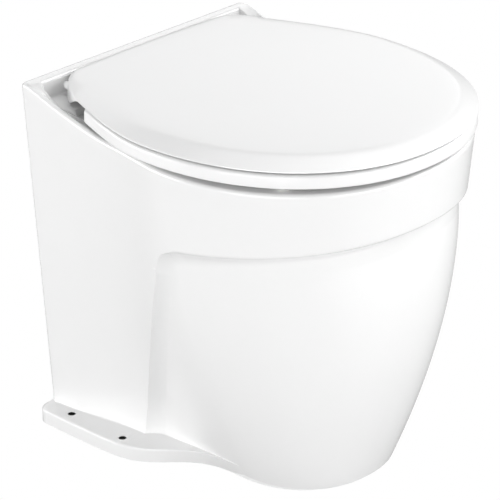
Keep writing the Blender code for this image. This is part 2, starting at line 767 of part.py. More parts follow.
def top_rings():
    """The parapet's inner edge, the hinge deck and the rim's flat top."""
    cols = columns()
    rings = []
    ring = []
    for kind, s in cols:
        inset = PARAPET_THICK if kind in ("back", "corner") else WING_THICK
        x, y = box_point(kind, s, RIM_Z, inset)
        z = max(top_z(kind, y, WING_INNER_Y, WING_POWER_IN), deck_z(kind, y) + GAP)
        ring.append((x, min(y, BACK_Y - PARAPET_THICK), z))
    rings.append(ring)
    ring = []
    for kind, s in cols:
        inset = PARAPET_THICK + GAP * 2 if kind in ("back", "corner") else RIM_INSET - DECK_STEP
        x, y = box_point(kind, s, RIM_Z, inset)
        ring.append((x, min(y, BACK_Y - inset), deck_z(kind, y)))
    rings.append(ring)
    for step in (0, 1):
        ring = []
        side_count = len(SIDE_SHARES) - 1
        for kind, s in cols:
            inset = RIM_INSET + DECK_STEP * step
            z = RIM_Z
            if kind == "back":
                x, y = s * DECK_HALF, DECK_FRONT_Y - DECK_STEP * step
                z = DECK_Z if step == 0 else RIM_Z
            elif kind == "corner":
                x, y = DECK_HALF + DECK_STEP / 2, DECK_FRONT_Y - DECK_STEP * DECK_STEP_SHARES[step]
                z = DECK_Z if step == 0 else RIM_Z
            elif kind == "side":
                far = DECK_FRONT_Y - DECK_STEP * (1 + step)
                near = edge_y(RIM_Z)
                y = far + (near - far) * s
                wide = box_half(y, RIM_Z) - inset
                x = wide + (DECK_HALF + DECK_STEP - wide) * (1 - s) ** side_count
            else:
                x, y = box_point(kind, s, RIM_Z, inset)
            ring.append((x, y, z))
        rings.append(ring)
    return rings


# Bowl, inside and outside: each ring's height as a share of the depth from the rim to the outlet, the
# place of its centre from the outlet (0) to the bowl's (1), and its size as a share of the bowl's mouth
RIM_RING_SHARES = ((0.99, 1, 1), (0.96, 1, 0.975))
BOWL_RING_SHARES = ((0.77, 1, 0.94), (0.54, 0.925, 0.823), (0.335, 0.75, 0.65), (0.165, 0.425, 0.435),
                    (0.064, 0.125, 0.283))
UNDER_RING_SHARES = ((0.046, 0.1, 0.35), (0.128, 0.4, 0.53), (0.303, 0.75, 0.738), (0.518, 0.925, 0.916))


def round_ring(directions, z, centre, half, front, rear):
    ring = []
    for dx, dy in directions:
        reach = front if dy < 0 else rear
        radius = 1 / sqrt((dx / half) ** 2 + (dy / reach) ** 2)
        ring.append((dx * radius, centre + dy * radius, z))
    return ring


def bowl_ring(directions, height_share, centre_share, size_share):
    z = OUTLET_TOP_Z + (RIM_Z - OUTLET_TOP_Z) * height_share
    centre = OUTLET_Y + (BOWL_CENTRE_Y - OUTLET_Y) * centre_share
    return round_ring(directions, z, centre, BOWL_HALF * size_share, BOWL_FRONT * size_share,
                      BOWL_REAR * size_share)


def neck_rings(directions):
    """The bowl's mouth at the underside of the rim, inside and outside."""
    z, share = RIM_Z - RIM_THICK, RIM_RING_SHARES[1][2]
    rings = []
    for wall in (0, BOWL_WALL):
        rings.append(round_ring(directions, z, BOWL_CENTRE_Y, BOWL_HALF * share + wall,
                                BOWL_FRONT * share + wall, BOWL_REAR * share + wall))
    return rings


def bowl_directions():
    """The way from the bowl's centre to each column of the rim's inner edge."""
    directions = []
    for x, y, _ in top_rings()[-1]:
        length = sqrt(x * x + (y - BOWL_CENTRE_Y) ** 2)
        directions.append((x / length, (y - BOWL_CENTRE_Y) / length))
    return directions


def inner_rings():
    """The pan's hidden inside, from under the rim down to the deck."""
    cols = columns()
    rings = []
    for z in (RIM_Z - RIM_THICK, (RIM_Z + CREASE_SIDE_Z) / 2):
        rings.append([(*box_point(k, s, z, WALL, WALL), z) for k, s in cols])
    for share in INNER_SHARES:
        ring = []
        for kind, s in cols:
            z = crease_z(kind, s) * share
            ring.append((*foot_point(kind, s, z, WALL, WALL), z))
        rings.append(ring)
    rings.append([(*foot_point(k, s, WALL_FOOT_Z, WALL, WALL), 0) for k, s in cols])
    return rings


def china_body(mat):
    """The pan's rim, walls and flange, down to where the bowl hangs from the rim."""
    directions = bowl_directions()
    rings = outer_rings() + top_rings()
    rings += [bowl_ring(directions, *row) for row in RIM_RING_SHARES]
    rings += neck_rings(directions) + inner_rings()
    bm = bmesh.new()
    bridge_rings(bm, [full_ring(ring) for ring in rings], closed=True)
    body = finish_mesh(bm, "china_body", mat, smooth=40)
    cut_pan_holes(body)
    return body


def china_bowl(mat):
    """The bowl below the rim, and its outlet spigot."""
    directions = bowl_directions()
    inner, outer = neck_rings(directions)
    rings = [inner] + [bowl_ring(directions, *row) for row in BOWL_RING_SHARES]
    for z, radius in ((OUTLET_TOP_Z, OUTLET_R), (OUTLET_LOW_Z, OUTLET_R),
                      (OUTLET_LOW_Z, OUTLET_OUT_R), (OUTLET_TOP_Z, OUTLET_OUT_R)):
        rings.append(round_ring(directions, z, OUTLET_Y, radius, radius, radius))
    rings += [bowl_ring(directions, *row) for row in UNDER_RING_SHARES] + [bowl_shell(directions), outer]
    bm = bmesh.new()
    bridge_rings(bm, [full_ring(ring) for ring in rings], closed=True)
    bowl = finish_mesh(bm, "china_bowl", mat, smooth=40)
    start, _ = nozzle_walls()
    nozzle = turned("nozzle_cut", None, (0, start, NOZZLE_Z), (0, 1, 0),
                    rod_profile(-OVERRUN * 3, BOWL_WALL + OVERRUN * 4, NOZZLE_R + GAP), 16)
    boolean(bowl, nozzle)
    return bowl


def bowl_shell(directions):
    """The bowl's outside beside its first ring below the rim."""
    height, _, share = BOWL_RING_SHARES[0]
    z = OUTLET_TOP_Z + (RIM_Z - OUTLET_TOP_Z) * height
    return round_ring(directions, z, BOWL_CENTRE_Y, BOWL_HALF * share + BOWL_WALL,
                      BOWL_FRONT * share + BOWL_WALL, BOWL_REAR * share + BOWL_WALL)


def nozzle_walls():
    """Depth of the bowl's inner and outer face behind the rinse nozzle."""
    face = BOWL_CENTRE_Y + BOWL_REAR * RIM_RING_SHARES[1][2]
    return face, face + BOWL_WALL


def cut_pan_holes(body):
    for sign in (-1, 1):
        for y in (BOLT_REAR_Y, BOLT_REAR_Y - BOLT_PITCH):
            hole = turned("bolt_cut", None, (sign * BOLT_X, y, 0), (0, 0, 1),
                          rod_profile(-OVERRUN, FLANGE_H + OVERRUN, BOLT_R), 16)
            boolean(body, hole)
        hole = turned("stud_cut", None, (sign * POST_X, HINGE_Y, RIM_Z - RIM_THICK), (0, 0, 1),
                      rod_profile(-OVERRUN, RIM_THICK + DECK_Z - RIM_Z + OVERRUN, STUD_R + GAP * 2), 16)
        boolean(body, hole)
        spread = acos((HINGE_Z - DECK_Z) / RELIEF_R)
        outline = []
        for i in range(RELIEF_STEPS + 1):
            angle = -spread + 2 * spread * i / RELIEF_STEPS
            outline.append((HINGE_Y + RELIEF_R * sin(angle), HINGE_Z - RELIEF_R * cos(angle)))
        outline += [(outline[-1][0], DECK_Z + OVERRUN), (outline[0][0], DECK_Z + OVERRUN)]
        low, high = sorted((sign * RELIEF_X0, sign * RELIEF_X1))
        boolean(body, extruded("relief_cut", None, outline, 0, low, high))
    door = slab("service_cut", None, (-SERVICE_HALF, BACK_Y - WALL * 2, SERVICE_LOW_Z),
                (SERVICE_HALF, BACK_Y + OVERRUN, SERVICE_TOP_Z), SERVICE_R, 1, 4)
    boolean(body, door)


# Seat and lid
def lid_half(y):
    """The lid's half width behind its widest place."""
    t = max(0.0, (y - LID_CENTRE_Y) / (LID_REAR_Y - LID_CENTRE_Y))
    tuck = max(0.0, (y - LID_TUCK_Y) / (LID_REAR_Y - LID_TUCK_Y))
    return LID_HALF * (1 - LID_NARROW_SHARE * t * t + LID_FLARE_SHARE * t * t * t - LID_TUCK_SHARE * tuck)


def lid_columns():
    cols = [("rear", s) for s in LID_REAR_SHARES] + [("corner", s) for s in LID_CORNER_SHARES]
    cols += [("side", s) for s in LID_SIDE_SHARES] + [("front", s) for s in FRONT_SHARES[1:]]
    return cols


def lid_point(kind, share, inset):
    rear_half = lid_half(LID_REAR_Y)
    radius = max(LID_CORNER_R - inset, LID_CORNER_R / 4)
    back = LID_REAR_Y - inset
    if kind == "rear":
        return share * (rear_half - inset - radius), back
    if kind == "corner":
        angle = share * pi / 2
        return rear_half - inset - radius * (1 - sin(angle)), back - radius * (1 - cos(angle))
    if kind == "side":
        y = back - radius + (LID_CENTRE_Y - back + radius) * share
        return lid_half(y) - inset, y
    return arc_point(LID_HALF - inset, LID_FRONT - inset, LID_CENTRE_Y, RIM_POWER, share)


def lid_low_z(kind, share):
    """Height of the lid's lower edge: level in front, an ear at each hinge, higher at the rear."""
    _, y = lid_point(kind, share, 0)
    if kind == "rear":
        return LID_REAR_Z if share < 1 else (LID_REAR_Z + EAR_LOW_Z) / 2
    if kind == "corner" or y > EAR_FRONT_Y:
        return EAR_LOW_Z
    return LID_EDGE_Z


def seat_lid(mat):
    cols = lid_columns()
    rings = []
    for step in range(len(LID_BEVEL)):
        ring = []
        for kind, share in cols:
            rear = kind in ("rear", "corner")
            inset, drop = (LID_ROLL if rear else LID_BEVEL)[step]
            z = lid_low_z(kind, share) if step == 0 else LID_SHOULDER_Z - drop
            ring.append((*lid_point(kind, share, inset), z))
        rings.append(ring)
    for share, rise in LID_CROWN_SHARES:
        z = LID_SHOULDER_Z + (LID_TOP_Z - LID_SHOULDER_Z) * rise
        rings.append([crown_point(k, s, share, z) for k, s in cols])
    under = []
    for step in range(len(LID_BEVEL)):
        ring = []
        for kind, share in cols:
            rear = kind in ("rear", "corner")
            inset, drop = (LID_ROLL_UNDER if rear else LID_UNDER)[step]
            z = lid_low_z(kind, share) if step == 0 else LID_SHOULDER_Z - drop - LID_WALL
            ring.append((*lid_point(kind, share, inset), z))
        under.append(ring)
    for share, rise in LID_CROWN_SHARES:
        z = LID_SHOULDER_Z + (LID_TOP_Z - LID_SHOULDER_Z) * rise - LID_WALL
        under.append([crown_point(k, s, share, z) for k, s in cols])
    bm = bmesh.new()
    rows = bridge_rings(bm, [full_ring(r) for r in under[::-1] + rings])
    for row, z in ((rows[0], LID_TOP_Z - LID_WALL), (rows[-1], LID_TOP_Z)):
        hub = bm.verts.new((0, LID_MIDDLE_Y, z))
        for i in range(len(row)):
            bm.faces.new((row[i], row[(i + 1) % len(row)], hub))
    lid = finish_mesh(bm, "seat_lid", mat, smooth=35)
    for sign in (-1, 1):
        low, high = sorted((sign * NOTCH_X0, sign * NOTCH_X1))
        notch = slab("notch_cut", None, (low, HINGE_Y + GAP, EAR_LOW_Z - OVERRUN),
                     (high, LID_REAR_Y + OVERRUN, NOTCH_TOP_Z))
        boolean(lid, notch)
        bore = turned("pin_cut", None, (sign * LUG_X1, HINGE_Y, HINGE_Z), (sign, 0, 0),
                      rod_profile(0, PIN_END_X - LUG_X1 + OVERRUN, PIN_R + GAP), 16)
        boolean(lid, bore)
    return lid


def crown_point(kind, share, scale, z):
    x, y = lid_point(kind, share, LID_BEVEL[-1][0])
    return x * scale, LID_MIDDLE_Y + (y - LID_MIDDLE_Y) * scale, z


def seat_point(angle, inset):
    """The seat's outer edge; the angle is 0 at the rear and pi at the front."""
    dx, dy = sin(angle), cos(angle)
    half = LID_HALF - SEAT_INSET - inset
    reach = (SEAT_REAR_Y - LID_CENTRE_Y if dy > 0 else LID_FRONT - SEAT_INSET) - inset
    power = SEAT_REAR_POWER if dy > 0 else RIM_POWER
    radius = (abs(dx / half) ** power + abs(dy / reach) ** power) ** (-1 / power)
    y = LID_CENTRE_Y + dy * radius
    widest = lid_half(y) - SEAT_INSET - inset
    return Vector((max(-widest, min(widest, dx * radius)), y, 0))


def seat_hole_point(angle, inset):
    dx, dy = sin(angle), cos(angle)
    half = SEAT_HOLE_HALF + inset
    reach = (SEAT_HOLE_REAR if dy > 0 else SEAT_HOLE_FRONT) + inset
    radius = 1 / sqrt((dx / half) ** 2 + (dy / reach) ** 2)
    return Vector((dx * radius, SEAT_HOLE_Y + dy * radius, 0))


def seat_ring(mat):
    low, high, edge = SEAT_LOW_Z, SEAT_LOW_Z + SEAT_THICK, SEAT_EDGE_R
    section = ((seat_point, edge / 2, low), (seat_point, 0, low + edge / 2), (seat_point, 0, high - edge),
               (seat_point, edge / 3, high - edge / 3), (seat_point, edge, high),
               (seat_hole_point, edge * 4, high), (seat_hole_point, edge, high - edge),
               (seat_hole_point, 0, high - edge * 2), (seat_hole_point, 0, low + edge / 2),
               (seat_hole_point, edge / 2, low))
    rings = []
    for place, inset, z in section:
        ring = []
        for i in range(SEAT_SIDES):
            point = place(2 * pi * i / SEAT_SIDES, inset)
            point.z = z
            ring.append(point)
        rings.append(ring)
    bm = bmesh.new()
    bridge_rings(bm, rings, closed=True)
    seat = finish_mesh(bm, "seat_ring", mat, smooth=35)
    for sign in (-1, 1):
        lug = hinge_lug("lug_part", sign)
        boolean(seat, lug, "UNION")
    for sign in (-1, 1):
        bore = turned("seat_bore_cut", None, (sign * (LUG_X0 - OVERRUN), HINGE_Y, HINGE_Z), (sign, 0, 0),
                      rod_profile(0, LUG_X1 - LUG_X0 + OVERRUN * 2, PIN_R + GAP), 16)
        boolean(seat, bore)
    return seat


def hinge_lug(name, sign):
    """A seat lug: a round eye on the hinge's axis and an arm forward into the seat."""
    arm_low, arm_high = HINGE_Z - LUG_ARM_BELOW, SEAT_LOW_Z + SEAT_THICK - GAP
    tail = SEAT_REAR_Y - LUG_ROOT
    sweep = pi * (LUG_ARC_SHARE + LUG_FOOT_SHARE) + pi / 2
    outline = [(tail, arm_low), (tail, arm_high)]
    for i in range(LUG_STEPS + 1):
        angle = pi * LUG_ARC_SHARE - sweep * i / LUG_STEPS
        outline.append((HINGE_Y + KNUCKLE_R * cos(angle), HINGE_Z + KNUCKLE_R * sin(angle)))
    low, high = sorted((sign * LUG_X0, sign * LUG_X1))
    return extruded(name, None, outline, 0, low, high)


def hinge_post(side, sign, mat):
    """A post on the pan's deck whose eye carries the pin."""
    foot = DECK_Z + GAP
    low, high = sorted((sign * (POST_X - POST_W / 2), sign * (POST_X + POST_W / 2)))
    outline = [(HINGE_Y + POST_LEG, foot), (HINGE_Y + POST_LEG, HINGE_Z)]
    for i in range(1, LUG_STEPS):
        angle = pi * i / LUG_STEPS
        outline.append((HINGE_Y + KNUCKLE_R * cos(angle), HINGE_Z + KNUCKLE_R * sin(angle)))
    outline += [(HINGE_Y - POST_LEG, HINGE_Z), (HINGE_Y - POST_LEG - POST_TOE, foot + POST_LEG / 2),
                (HINGE_Y - POST_LEG - POST_TOE, foot)]
    post = extruded("hinge_post_" + side, mat, outline, 0, low, high)
    bore = turned("post_bore_cut", None, (low - OVERRUN, HINGE_Y, HINGE_Z), (1, 0, 0),
                  rod_profile(0, POST_W + OVERRUN * 2, PIN_R + GAP), 16)
    boolean(post, bore)
    return post


def hinge_hardware(steel, nylon):
    for side, sign in (("left", -1), ("right", 1)):
        hinge_post(side, sign, steel)
        reach = PIN_END_X - (POST_X - POST_W / 2)
        outward = (sign, 0, 0)
        turned("hinge_pin_" + side, steel, (sign * (POST_X - POST_W / 2 + GAP), HINGE_Y, HINGE_Z), outward,
               [(0, 0), (0, PIN_R), (reach, PIN_R), (reach + PIN_DOME, PIN_R / 2), (reach + PIN_DOME, 0)], 16)
        turned("hinge_spacer_" + side, nylon, (sign * (LUG_X1 + GAP), HINGE_Y, HINGE_Z), outward,
               pipe_profile(0, SPACER_LEN, SPACER_R, PIN_R + GAP), 16)
        under = RIM_Z - RIM_THICK
        turned("hinge_stud_" + side, steel, (sign * POST_X, HINGE_Y, 0), (0, 0, 1),
               rod_profile(under - STUD_BELOW, DECK_Z, STUD_R), 12)
        turned("hinge_nut_" + side, nylon, (sign * POST_X, HINGE_Y, under), (0, 0, -1),
               [(GAP, STUD_R + GAP), (GAP, WASHER_R), (WASHER_H, WASHER_R), (WASHER_H, NUT_R),
                (WASHER_H + NUT_H, NUT_R), (WASHER_H + NUT_H, STUD_R + GAP), (GAP, STUD_R + GAP)], 12)


def bumpers(mat):
    for side, sign in (("left", -1), ("right", 1)):
        for end, x, y in (("front", SEAT_PAD_FRONT_X, SEAT_PAD_FRONT_Y),
                          ("rear", SEAT_PAD_REAR_X, SEAT_PAD_REAR_Y)):
            turned(f"seat_bumper_{end}_{side}", mat, (sign * x, y, SEAT_LOW_Z - GAP), (0, 0, -1),
                   rod_profile(0, SEAT_LOW_Z - RIM_Z - GAP * 2, SEAT_PAD_R), 12)
        top = LID_SHOULDER_Z - LID_WALL - GAP * 2
        low = SEAT_LOW_Z + SEAT_THICK + GAP
        turned(f"lid_bumper_{side}", mat, (sign * LID_PAD_X, LID_PAD_Y, top), (0, 0, -1),
               rod_profile(0, top - low, LID_PAD_R), 12)


# Outlet boot and clamps
def outlet_boot(rubber, steel):
    path = [Vector((0, OUTLET_Y, OUTLET_LOW_Z + BOOT_LAP)), Vector((0, OUTLET_Y, OUTLET_LOW_Z))]
    centre = Vector((0, OUTLET_Y + BOOT_BEND_R, PUMP_Z + BOOT_BEND_R))
    for i in range(BEND_STEPS + 1):
        angle = pi / 2 * i / BEND_STEPS
        path.append(centre + Vector((0, -cos(angle), -sin(angle))) * BOOT_BEND_R)
    end_y = PUMP_FRONT_Y - GAP
    path.append(Vector((0, end_y, PUMP_Z)))
    hollow_sweep("bowl_outlet_boot", rubber, path, BOOT_OUT_R, BOOT_IN_R, BOOT_SIDES)
    bowl_clamp_z = OUTLET_LOW_Z + BOOT_LAP - CLAMP_INSET - CLAMP_W
    band_clamp("boot_clamp_bowl", steel, (0, OUTLET_Y, bowl_clamp_z), (0, 0, 1), BOOT_OUT_R)
    band_clamp("boot_clamp_pump", steel, (0, end_y - CLAMP_INSET - CLAMP_W, PUMP_Z), (0, 1, 0), BOOT_OUT_R)


def band_clamp(name, mat, base, axis, radius):
    """A worm-drive band with its screw housing."""
    inner = (radius + GAP) / cos(pi / BOOT_SIDES)
    outer = inner + CLAMP_T
    band = turned(name, mat, base, axis, pipe_profile(0, CLAMP_W, outer, inner), BOOT_SIDES)
    base, axis = Vector(base), Vector(axis)
    side = Vector((1, 0, 0)) if axis.x == 0 else Vector((0, 0, 1))
    middle = base + axis * CLAMP_W / 2 + side * (outer + CLAMP_LUG / 2 - CLAMP_T / 2)
    half = Vector((1, 1, 1)) * CLAMP_LUG / 2
    lug = slab(name + "_lug", None, middle - half, middle + half, CLAMP_T, 2, 2)
    boolean(band, lug, "UNION")
    return band


# Macerator pump
def pump(plastic, steel, rubber):
    front, axis = Vector((0, PUMP_FRONT_Y, PUMP_Z)), (0, 1, 0)
    cover = turned("pump_inlet_cover", plastic, front, axis,
                   [(-INLET_LEN, INLET_BORE_R), (-INLET_LEN, OUTLET_OUT_R), (0, OUTLET_OUT_R), (0, PUMP_R),
                    (COVER_T, PUMP_R), (COVER_T, INLET_BORE_R), (-INLET_LEN, INLET_BORE_R)], 32)
    start = COVER_T + GAP
    floor = start + CHAMBER_LEN
    back = floor + PUMP_BACK_T
    body = turned("pump_housing", plastic, front, axis, rod_profile(start, back, PUMP_R), 32)
    neck_y = PUMP_FRONT_Y + start + CHAMBER_LEN / 2
    neck = turned("neck_part", None, (DISCHARGE_X, neck_y, PUMP_Z), (0, 0, 1),
                  rod_profile(PUMP_R / 2, NECK_TOP_Z - PUMP_Z, NECK_OUT_R), 24)
    boolean(body, neck, "UNION")
    duct = turned("duct_cut", None, (DISCHARGE_X, neck_y, PUMP_Z), (0, 0, 1),
                  rod_profile(PUMP_R / 3, NECK_TOP_Z - PUMP_Z + OVERRUN, NECK_IN_R), 24)
    boolean(body, duct)
    hole_r = SHAFT_R + GAP * 3
    bore = turned("seal_cut", None, front, axis,
                  [(floor - OVERRUN, 0), (floor - OVERRUN, hole_r), (floor + GAP * 3, hole_r),
                   (floor + GAP * 3, SEAL_R), (back + OVERRUN, SEAL_R), (back + OVERRUN, 0)], 20)
    boolean(body, bore)
    for i in range(SCREWS):
        angle = pi / 2 + 2 * pi * i / SCREWS
        spot = front + Vector((cos(angle), 0, sin(angle))) * SCREW_RING_R
        for target in (cover, body):
            hole = turned("screw_cut", None, spot, axis,
                          rod_profile(-OVERRUN, SCREW_LEN + GAP * 2, SCREW_R + GAP), 12)
            boolean(target, hole)
        turned(f"pump_screw_{i + 1}", steel, spot, axis,
               [(-SCREW_HEAD_H, 0), (-SCREW_HEAD_H, SCREW_HEAD_R), (-GAP, SCREW_HEAD_R), (-GAP, SCREW_R),
                (SCREW_LEN, SCREW_R), (SCREW_LEN, 0)], 12)
    chamber = turned("chamber_cut", None, front, axis, rod_profile(start - OVERRUN, floor, CHAMBER_R), 32)
    boolean(body, chamber)
    turned("wear_plate", steel, front, axis,
           pipe_profile(start + GAP, start + GAP + PLATE_T, CHAMBER_R - GAP, PLATE_BORE_R), 32)
    rotor(front, start, floor, steel, plastic)
    turned("shaft_seal", rubber, front, axis,
           pipe_profile(floor + GAP * 4, back - GAP, SEAL_R - GAP, SHAFT_R + GAP), 20)
    return back


def rotor(front, start, floor, steel, plastic):
    """Chopper blade and impeller on the shaft."""
    axis = (0, 1, 0)
    disc_back = floor - GAP * 4
    disc_front = disc_back - IMPELLER_DISC
    hub_front = disc_front - VANE_H
    impeller = turned("impeller", plastic, front, axis,
                      [(hub_front, SHAFT_R + GAP), (hub_front, HUB_R), (disc_front, HUB_R),
                       (disc_front, IMPELLER_R), (disc_back, IMPELLER_R), (disc_back, SHAFT_R + GAP),
                       (hub_front, SHAFT_R + GAP)], 24)
    for i in range(VANES):
        vane = slab("vane_part", None, (HUB_R - VANE_T / 2, hub_front + GAP, -VANE_T / 2),
                    (IMPELLER_R - VANE_T / 2, disc_front + IMPELLER_DISC / 2, VANE_T / 2))
        vane.data.transform(Matrix.Translation(front) @ Matrix.Rotation(2 * pi * i / VANES, 4, "Y"))
        boolean(impeller, vane, "UNION")
    blade_back = hub_front - GAP
    blade = turned("chopper_blade", steel, front, axis,
                   [(blade_back - BLADE_T - HUB_NOSE, 0), (blade_back - BLADE_T - HUB_NOSE, HUB_R / 2),
                    (blade_back - BLADE_T, HUB_R), (blade_back, HUB_R), (blade_back, 0)], 20)
    arm = slab("arm_part", None, (-BLADE_R, blade_back - BLADE_T + GAP, -BLADE_W / 2),
               (BLADE_R, blade_back - GAP / 2, BLADE_W / 2), BLADE_W / 4, 1, 2)
    arm.data.transform(Matrix.Translation(front))
    boolean(blade, arm, "UNION")
    shaft_end = floor + PUMP_BACK_T + FRONT_CAP_T + CAN_LEN + BEARING_W + GAP * 2
    turned("motor_shaft", steel, front, axis, rod_profile(blade_back + GAP, shaft_end, SHAFT_R), 16)


def motor(pump_back, steel, painted, magnet, copper, carbon):
    front, axis = Vector((0, PUMP_FRONT_Y, PUMP_Z)), (0, 1, 0)
    cap_start = pump_back + GAP
    cap_end = cap_start + FRONT_CAP_T
    turned("motor_front_cap", painted, front, axis,
           [(cap_start, SHAFT_R + GAP * 3), (cap_start, PUMP_R), (cap_start + PLATE_T, PUMP_R),
            (cap_start + PLATE_T + CAP_TAPER, CAN_R), (cap_end, CAN_R), (cap_end, BEARING_R + GAP),
            (cap_end - BEARING_W - GAP, BEARING_R + GAP), (cap_end - BEARING_W - GAP, SHAFT_R + GAP * 3),
            (cap_start, SHAFT_R + GAP * 3)], 32)
    turned("bearing_front", steel, front, axis,
           pipe_profile(cap_end - BEARING_W, cap_end - GAP, BEARING_R, SHAFT_R + GAP), 20)
    can_start, can_end = cap_end + GAP, cap_end + CAN_LEN
    turned("motor_can", painted, front, axis, pipe_profile(can_start, can_end, CAN_R, CAN_R - CAN_T), 32)
    rear_start, rear_end = can_end + GAP, can_end + REAR_CAP_T
    turned("motor_rear_cap", painted, front, axis,
           [(rear_end, 0), (rear_end, CAN_R - CAN_T * 2), (rear_end - CAN_T * 2, CAN_R), (rear_start, CAN_R),
            (rear_start, BEARING_R + GAP), (rear_start + BEARING_W + GAP, BEARING_R + GAP),
            (rear_start + BEARING_W + GAP, 0)], 32)
    turned("bearing_rear", steel, front, axis,
           pipe_profile(rear_start + GAP, rear_start + BEARING_W, BEARING_R, SHAFT_R + GAP), 20)
    for side, sign in (("left", -1), ("right", 1)):
        field_magnet("field_magnet_" + side, sign, can_start + MAGNET_INSET, can_end - MAGNET_INSET * 2,
                     front, magnet)
    core_start = can_start + CORE_INSET
    core_end = core_start + ARMATURE_LEN
    commutator_end = core_end + COMMUTATOR_LEN
    core = turned("armature", copper, front, axis,
                  [(core_start, SHAFT_R + GAP), (core_start, ARMATURE_R), (core_end, ARMATURE_R),
                   (core_end, COMMUTATOR_R), (commutator_end, COMMUTATOR_R),
                   (commutator_end, SHAFT_R + GAP), (core_start, SHAFT_R + GAP)], 36)
    for i in range(SLOTS):
        slot = slab("slot_cut", None, (ARMATURE_R * SLOT_FLOOR_SHARE, core_start - OVERRUN, -VANE_T / 2),
                    (ARMATURE_R + OVERRUN, core_end + GAP * 3, VANE_T / 2))
        slot.data.transform(Matrix.Translation(front) @ Matrix.Rotation(2 * pi * i / SLOTS, 4, "Y"))
        boolean(core, slot)
    brush_y = PUMP_FRONT_Y + core_end + COMMUTATOR_LEN / 2
    for side, sign in (("left", -1), ("right", 1)):
        low, high = sorted((sign * (COMMUTATOR_R + GAP), sign * (COMMUTATOR_R + GAP + BRUSH_LEN)))
        slab("brush_" + side, carbon, (low, brush_y - BRUSH_W / 2, PUMP_Z - BRUSH_W / 2),
             (high, brush_y + BRUSH_W / 2, PUMP_Z + BRUSH_W / 2))


def field_magnet(name, sign, start, end, front, mat):
    outer, inner = CAN_R - CAN_T - GAP, CAN_R - CAN_T - GAP - MAGNET_T
    spread = pi * MAGNET_ARC_SHARE
    steps = MAGNET_STEPS
    outline = []
    for i in range(steps + 1):
        angle = -spread + 2 * spread * i / steps
        outline.append((sign * outer * cos(angle), PUMP_Z + outer * sin(angle)))
    for i in range(steps, -1, -1):
        angle = -spread + 2 * spread * i / steps
        outline.append((sign * inner * cos(angle), PUMP_Z + inner * sin(angle)))
    extruded(name, mat, outline, 1, front.y + start, front.y + end)


def cradle(steel):
    """A bent base under the motor, with a saddle, and an upright that carries the rinse valve."""
    base = slab("pump_cradle", steel, (RINSE_X - STAND_W / 2, CRADLE_FRONT_Y, 0),
                (CRADLE_HALF, CRADLE_REAR_Y, CRADLE_T))
    saddle = slab("saddle_part", None, (-SADDLE_HALF, SADDLE_FRONT_Y, CRADLE_T / 2),
                  (SADDLE_HALF, CRADLE_REAR_Y - CRADLE_T, PUMP_Z - SADDLE_DROP))
    boolean(base, saddle, "UNION")
    upright = slab("upright_part", None, (RINSE_X - STAND_W / 2, RINSE_Y - STAND_T / 2, CRADLE_T / 2),
                   (RINSE_X + STAND_W / 2, RINSE_Y + STAND_T / 2, RINSE_Z - STAND_T - GAP))
    boolean(base, upright, "UNION")
    shelf = slab("shelf_part", None,
                 (RINSE_X - STAND_W / 2, RINSE_Y - RINSE_BODY / 2, RINSE_Z - STAND_T - GAP * 2),
                 (RINSE_X + STAND_W / 2, RINSE_Y + RINSE_BODY / 2, RINSE_Z - GAP))
    boolean(base, shelf, "UNION")
    hollow = turned("saddle_cut", None, (0, CRADLE_FRONT_Y, PUMP_Z), (0, 1, 0),
                    rod_profile(-OVERRUN, CRADLE_REAR_Y - CRADLE_FRONT_Y + OVERRUN, CAN_R + GAP), 32)
    boolean(base, hollow)
    strap = turned("motor_strap", steel, (0, STRAP_Y, PUMP_Z), (0, 1, 0),
                   pipe_profile(0, STRAP_W, CAN_R + GAP + CLAMP_T, CAN_R + GAP), 32)
    under = slab("strap_cut", None, (-CAN_R * 2, STRAP_Y - OVERRUN, 0),
                 (CAN_R * 2, STRAP_Y + STRAP_W + OVERRUN, PUMP_Z - CAN_R * STRAP_END_SHARE))
    boolean(strap, under)


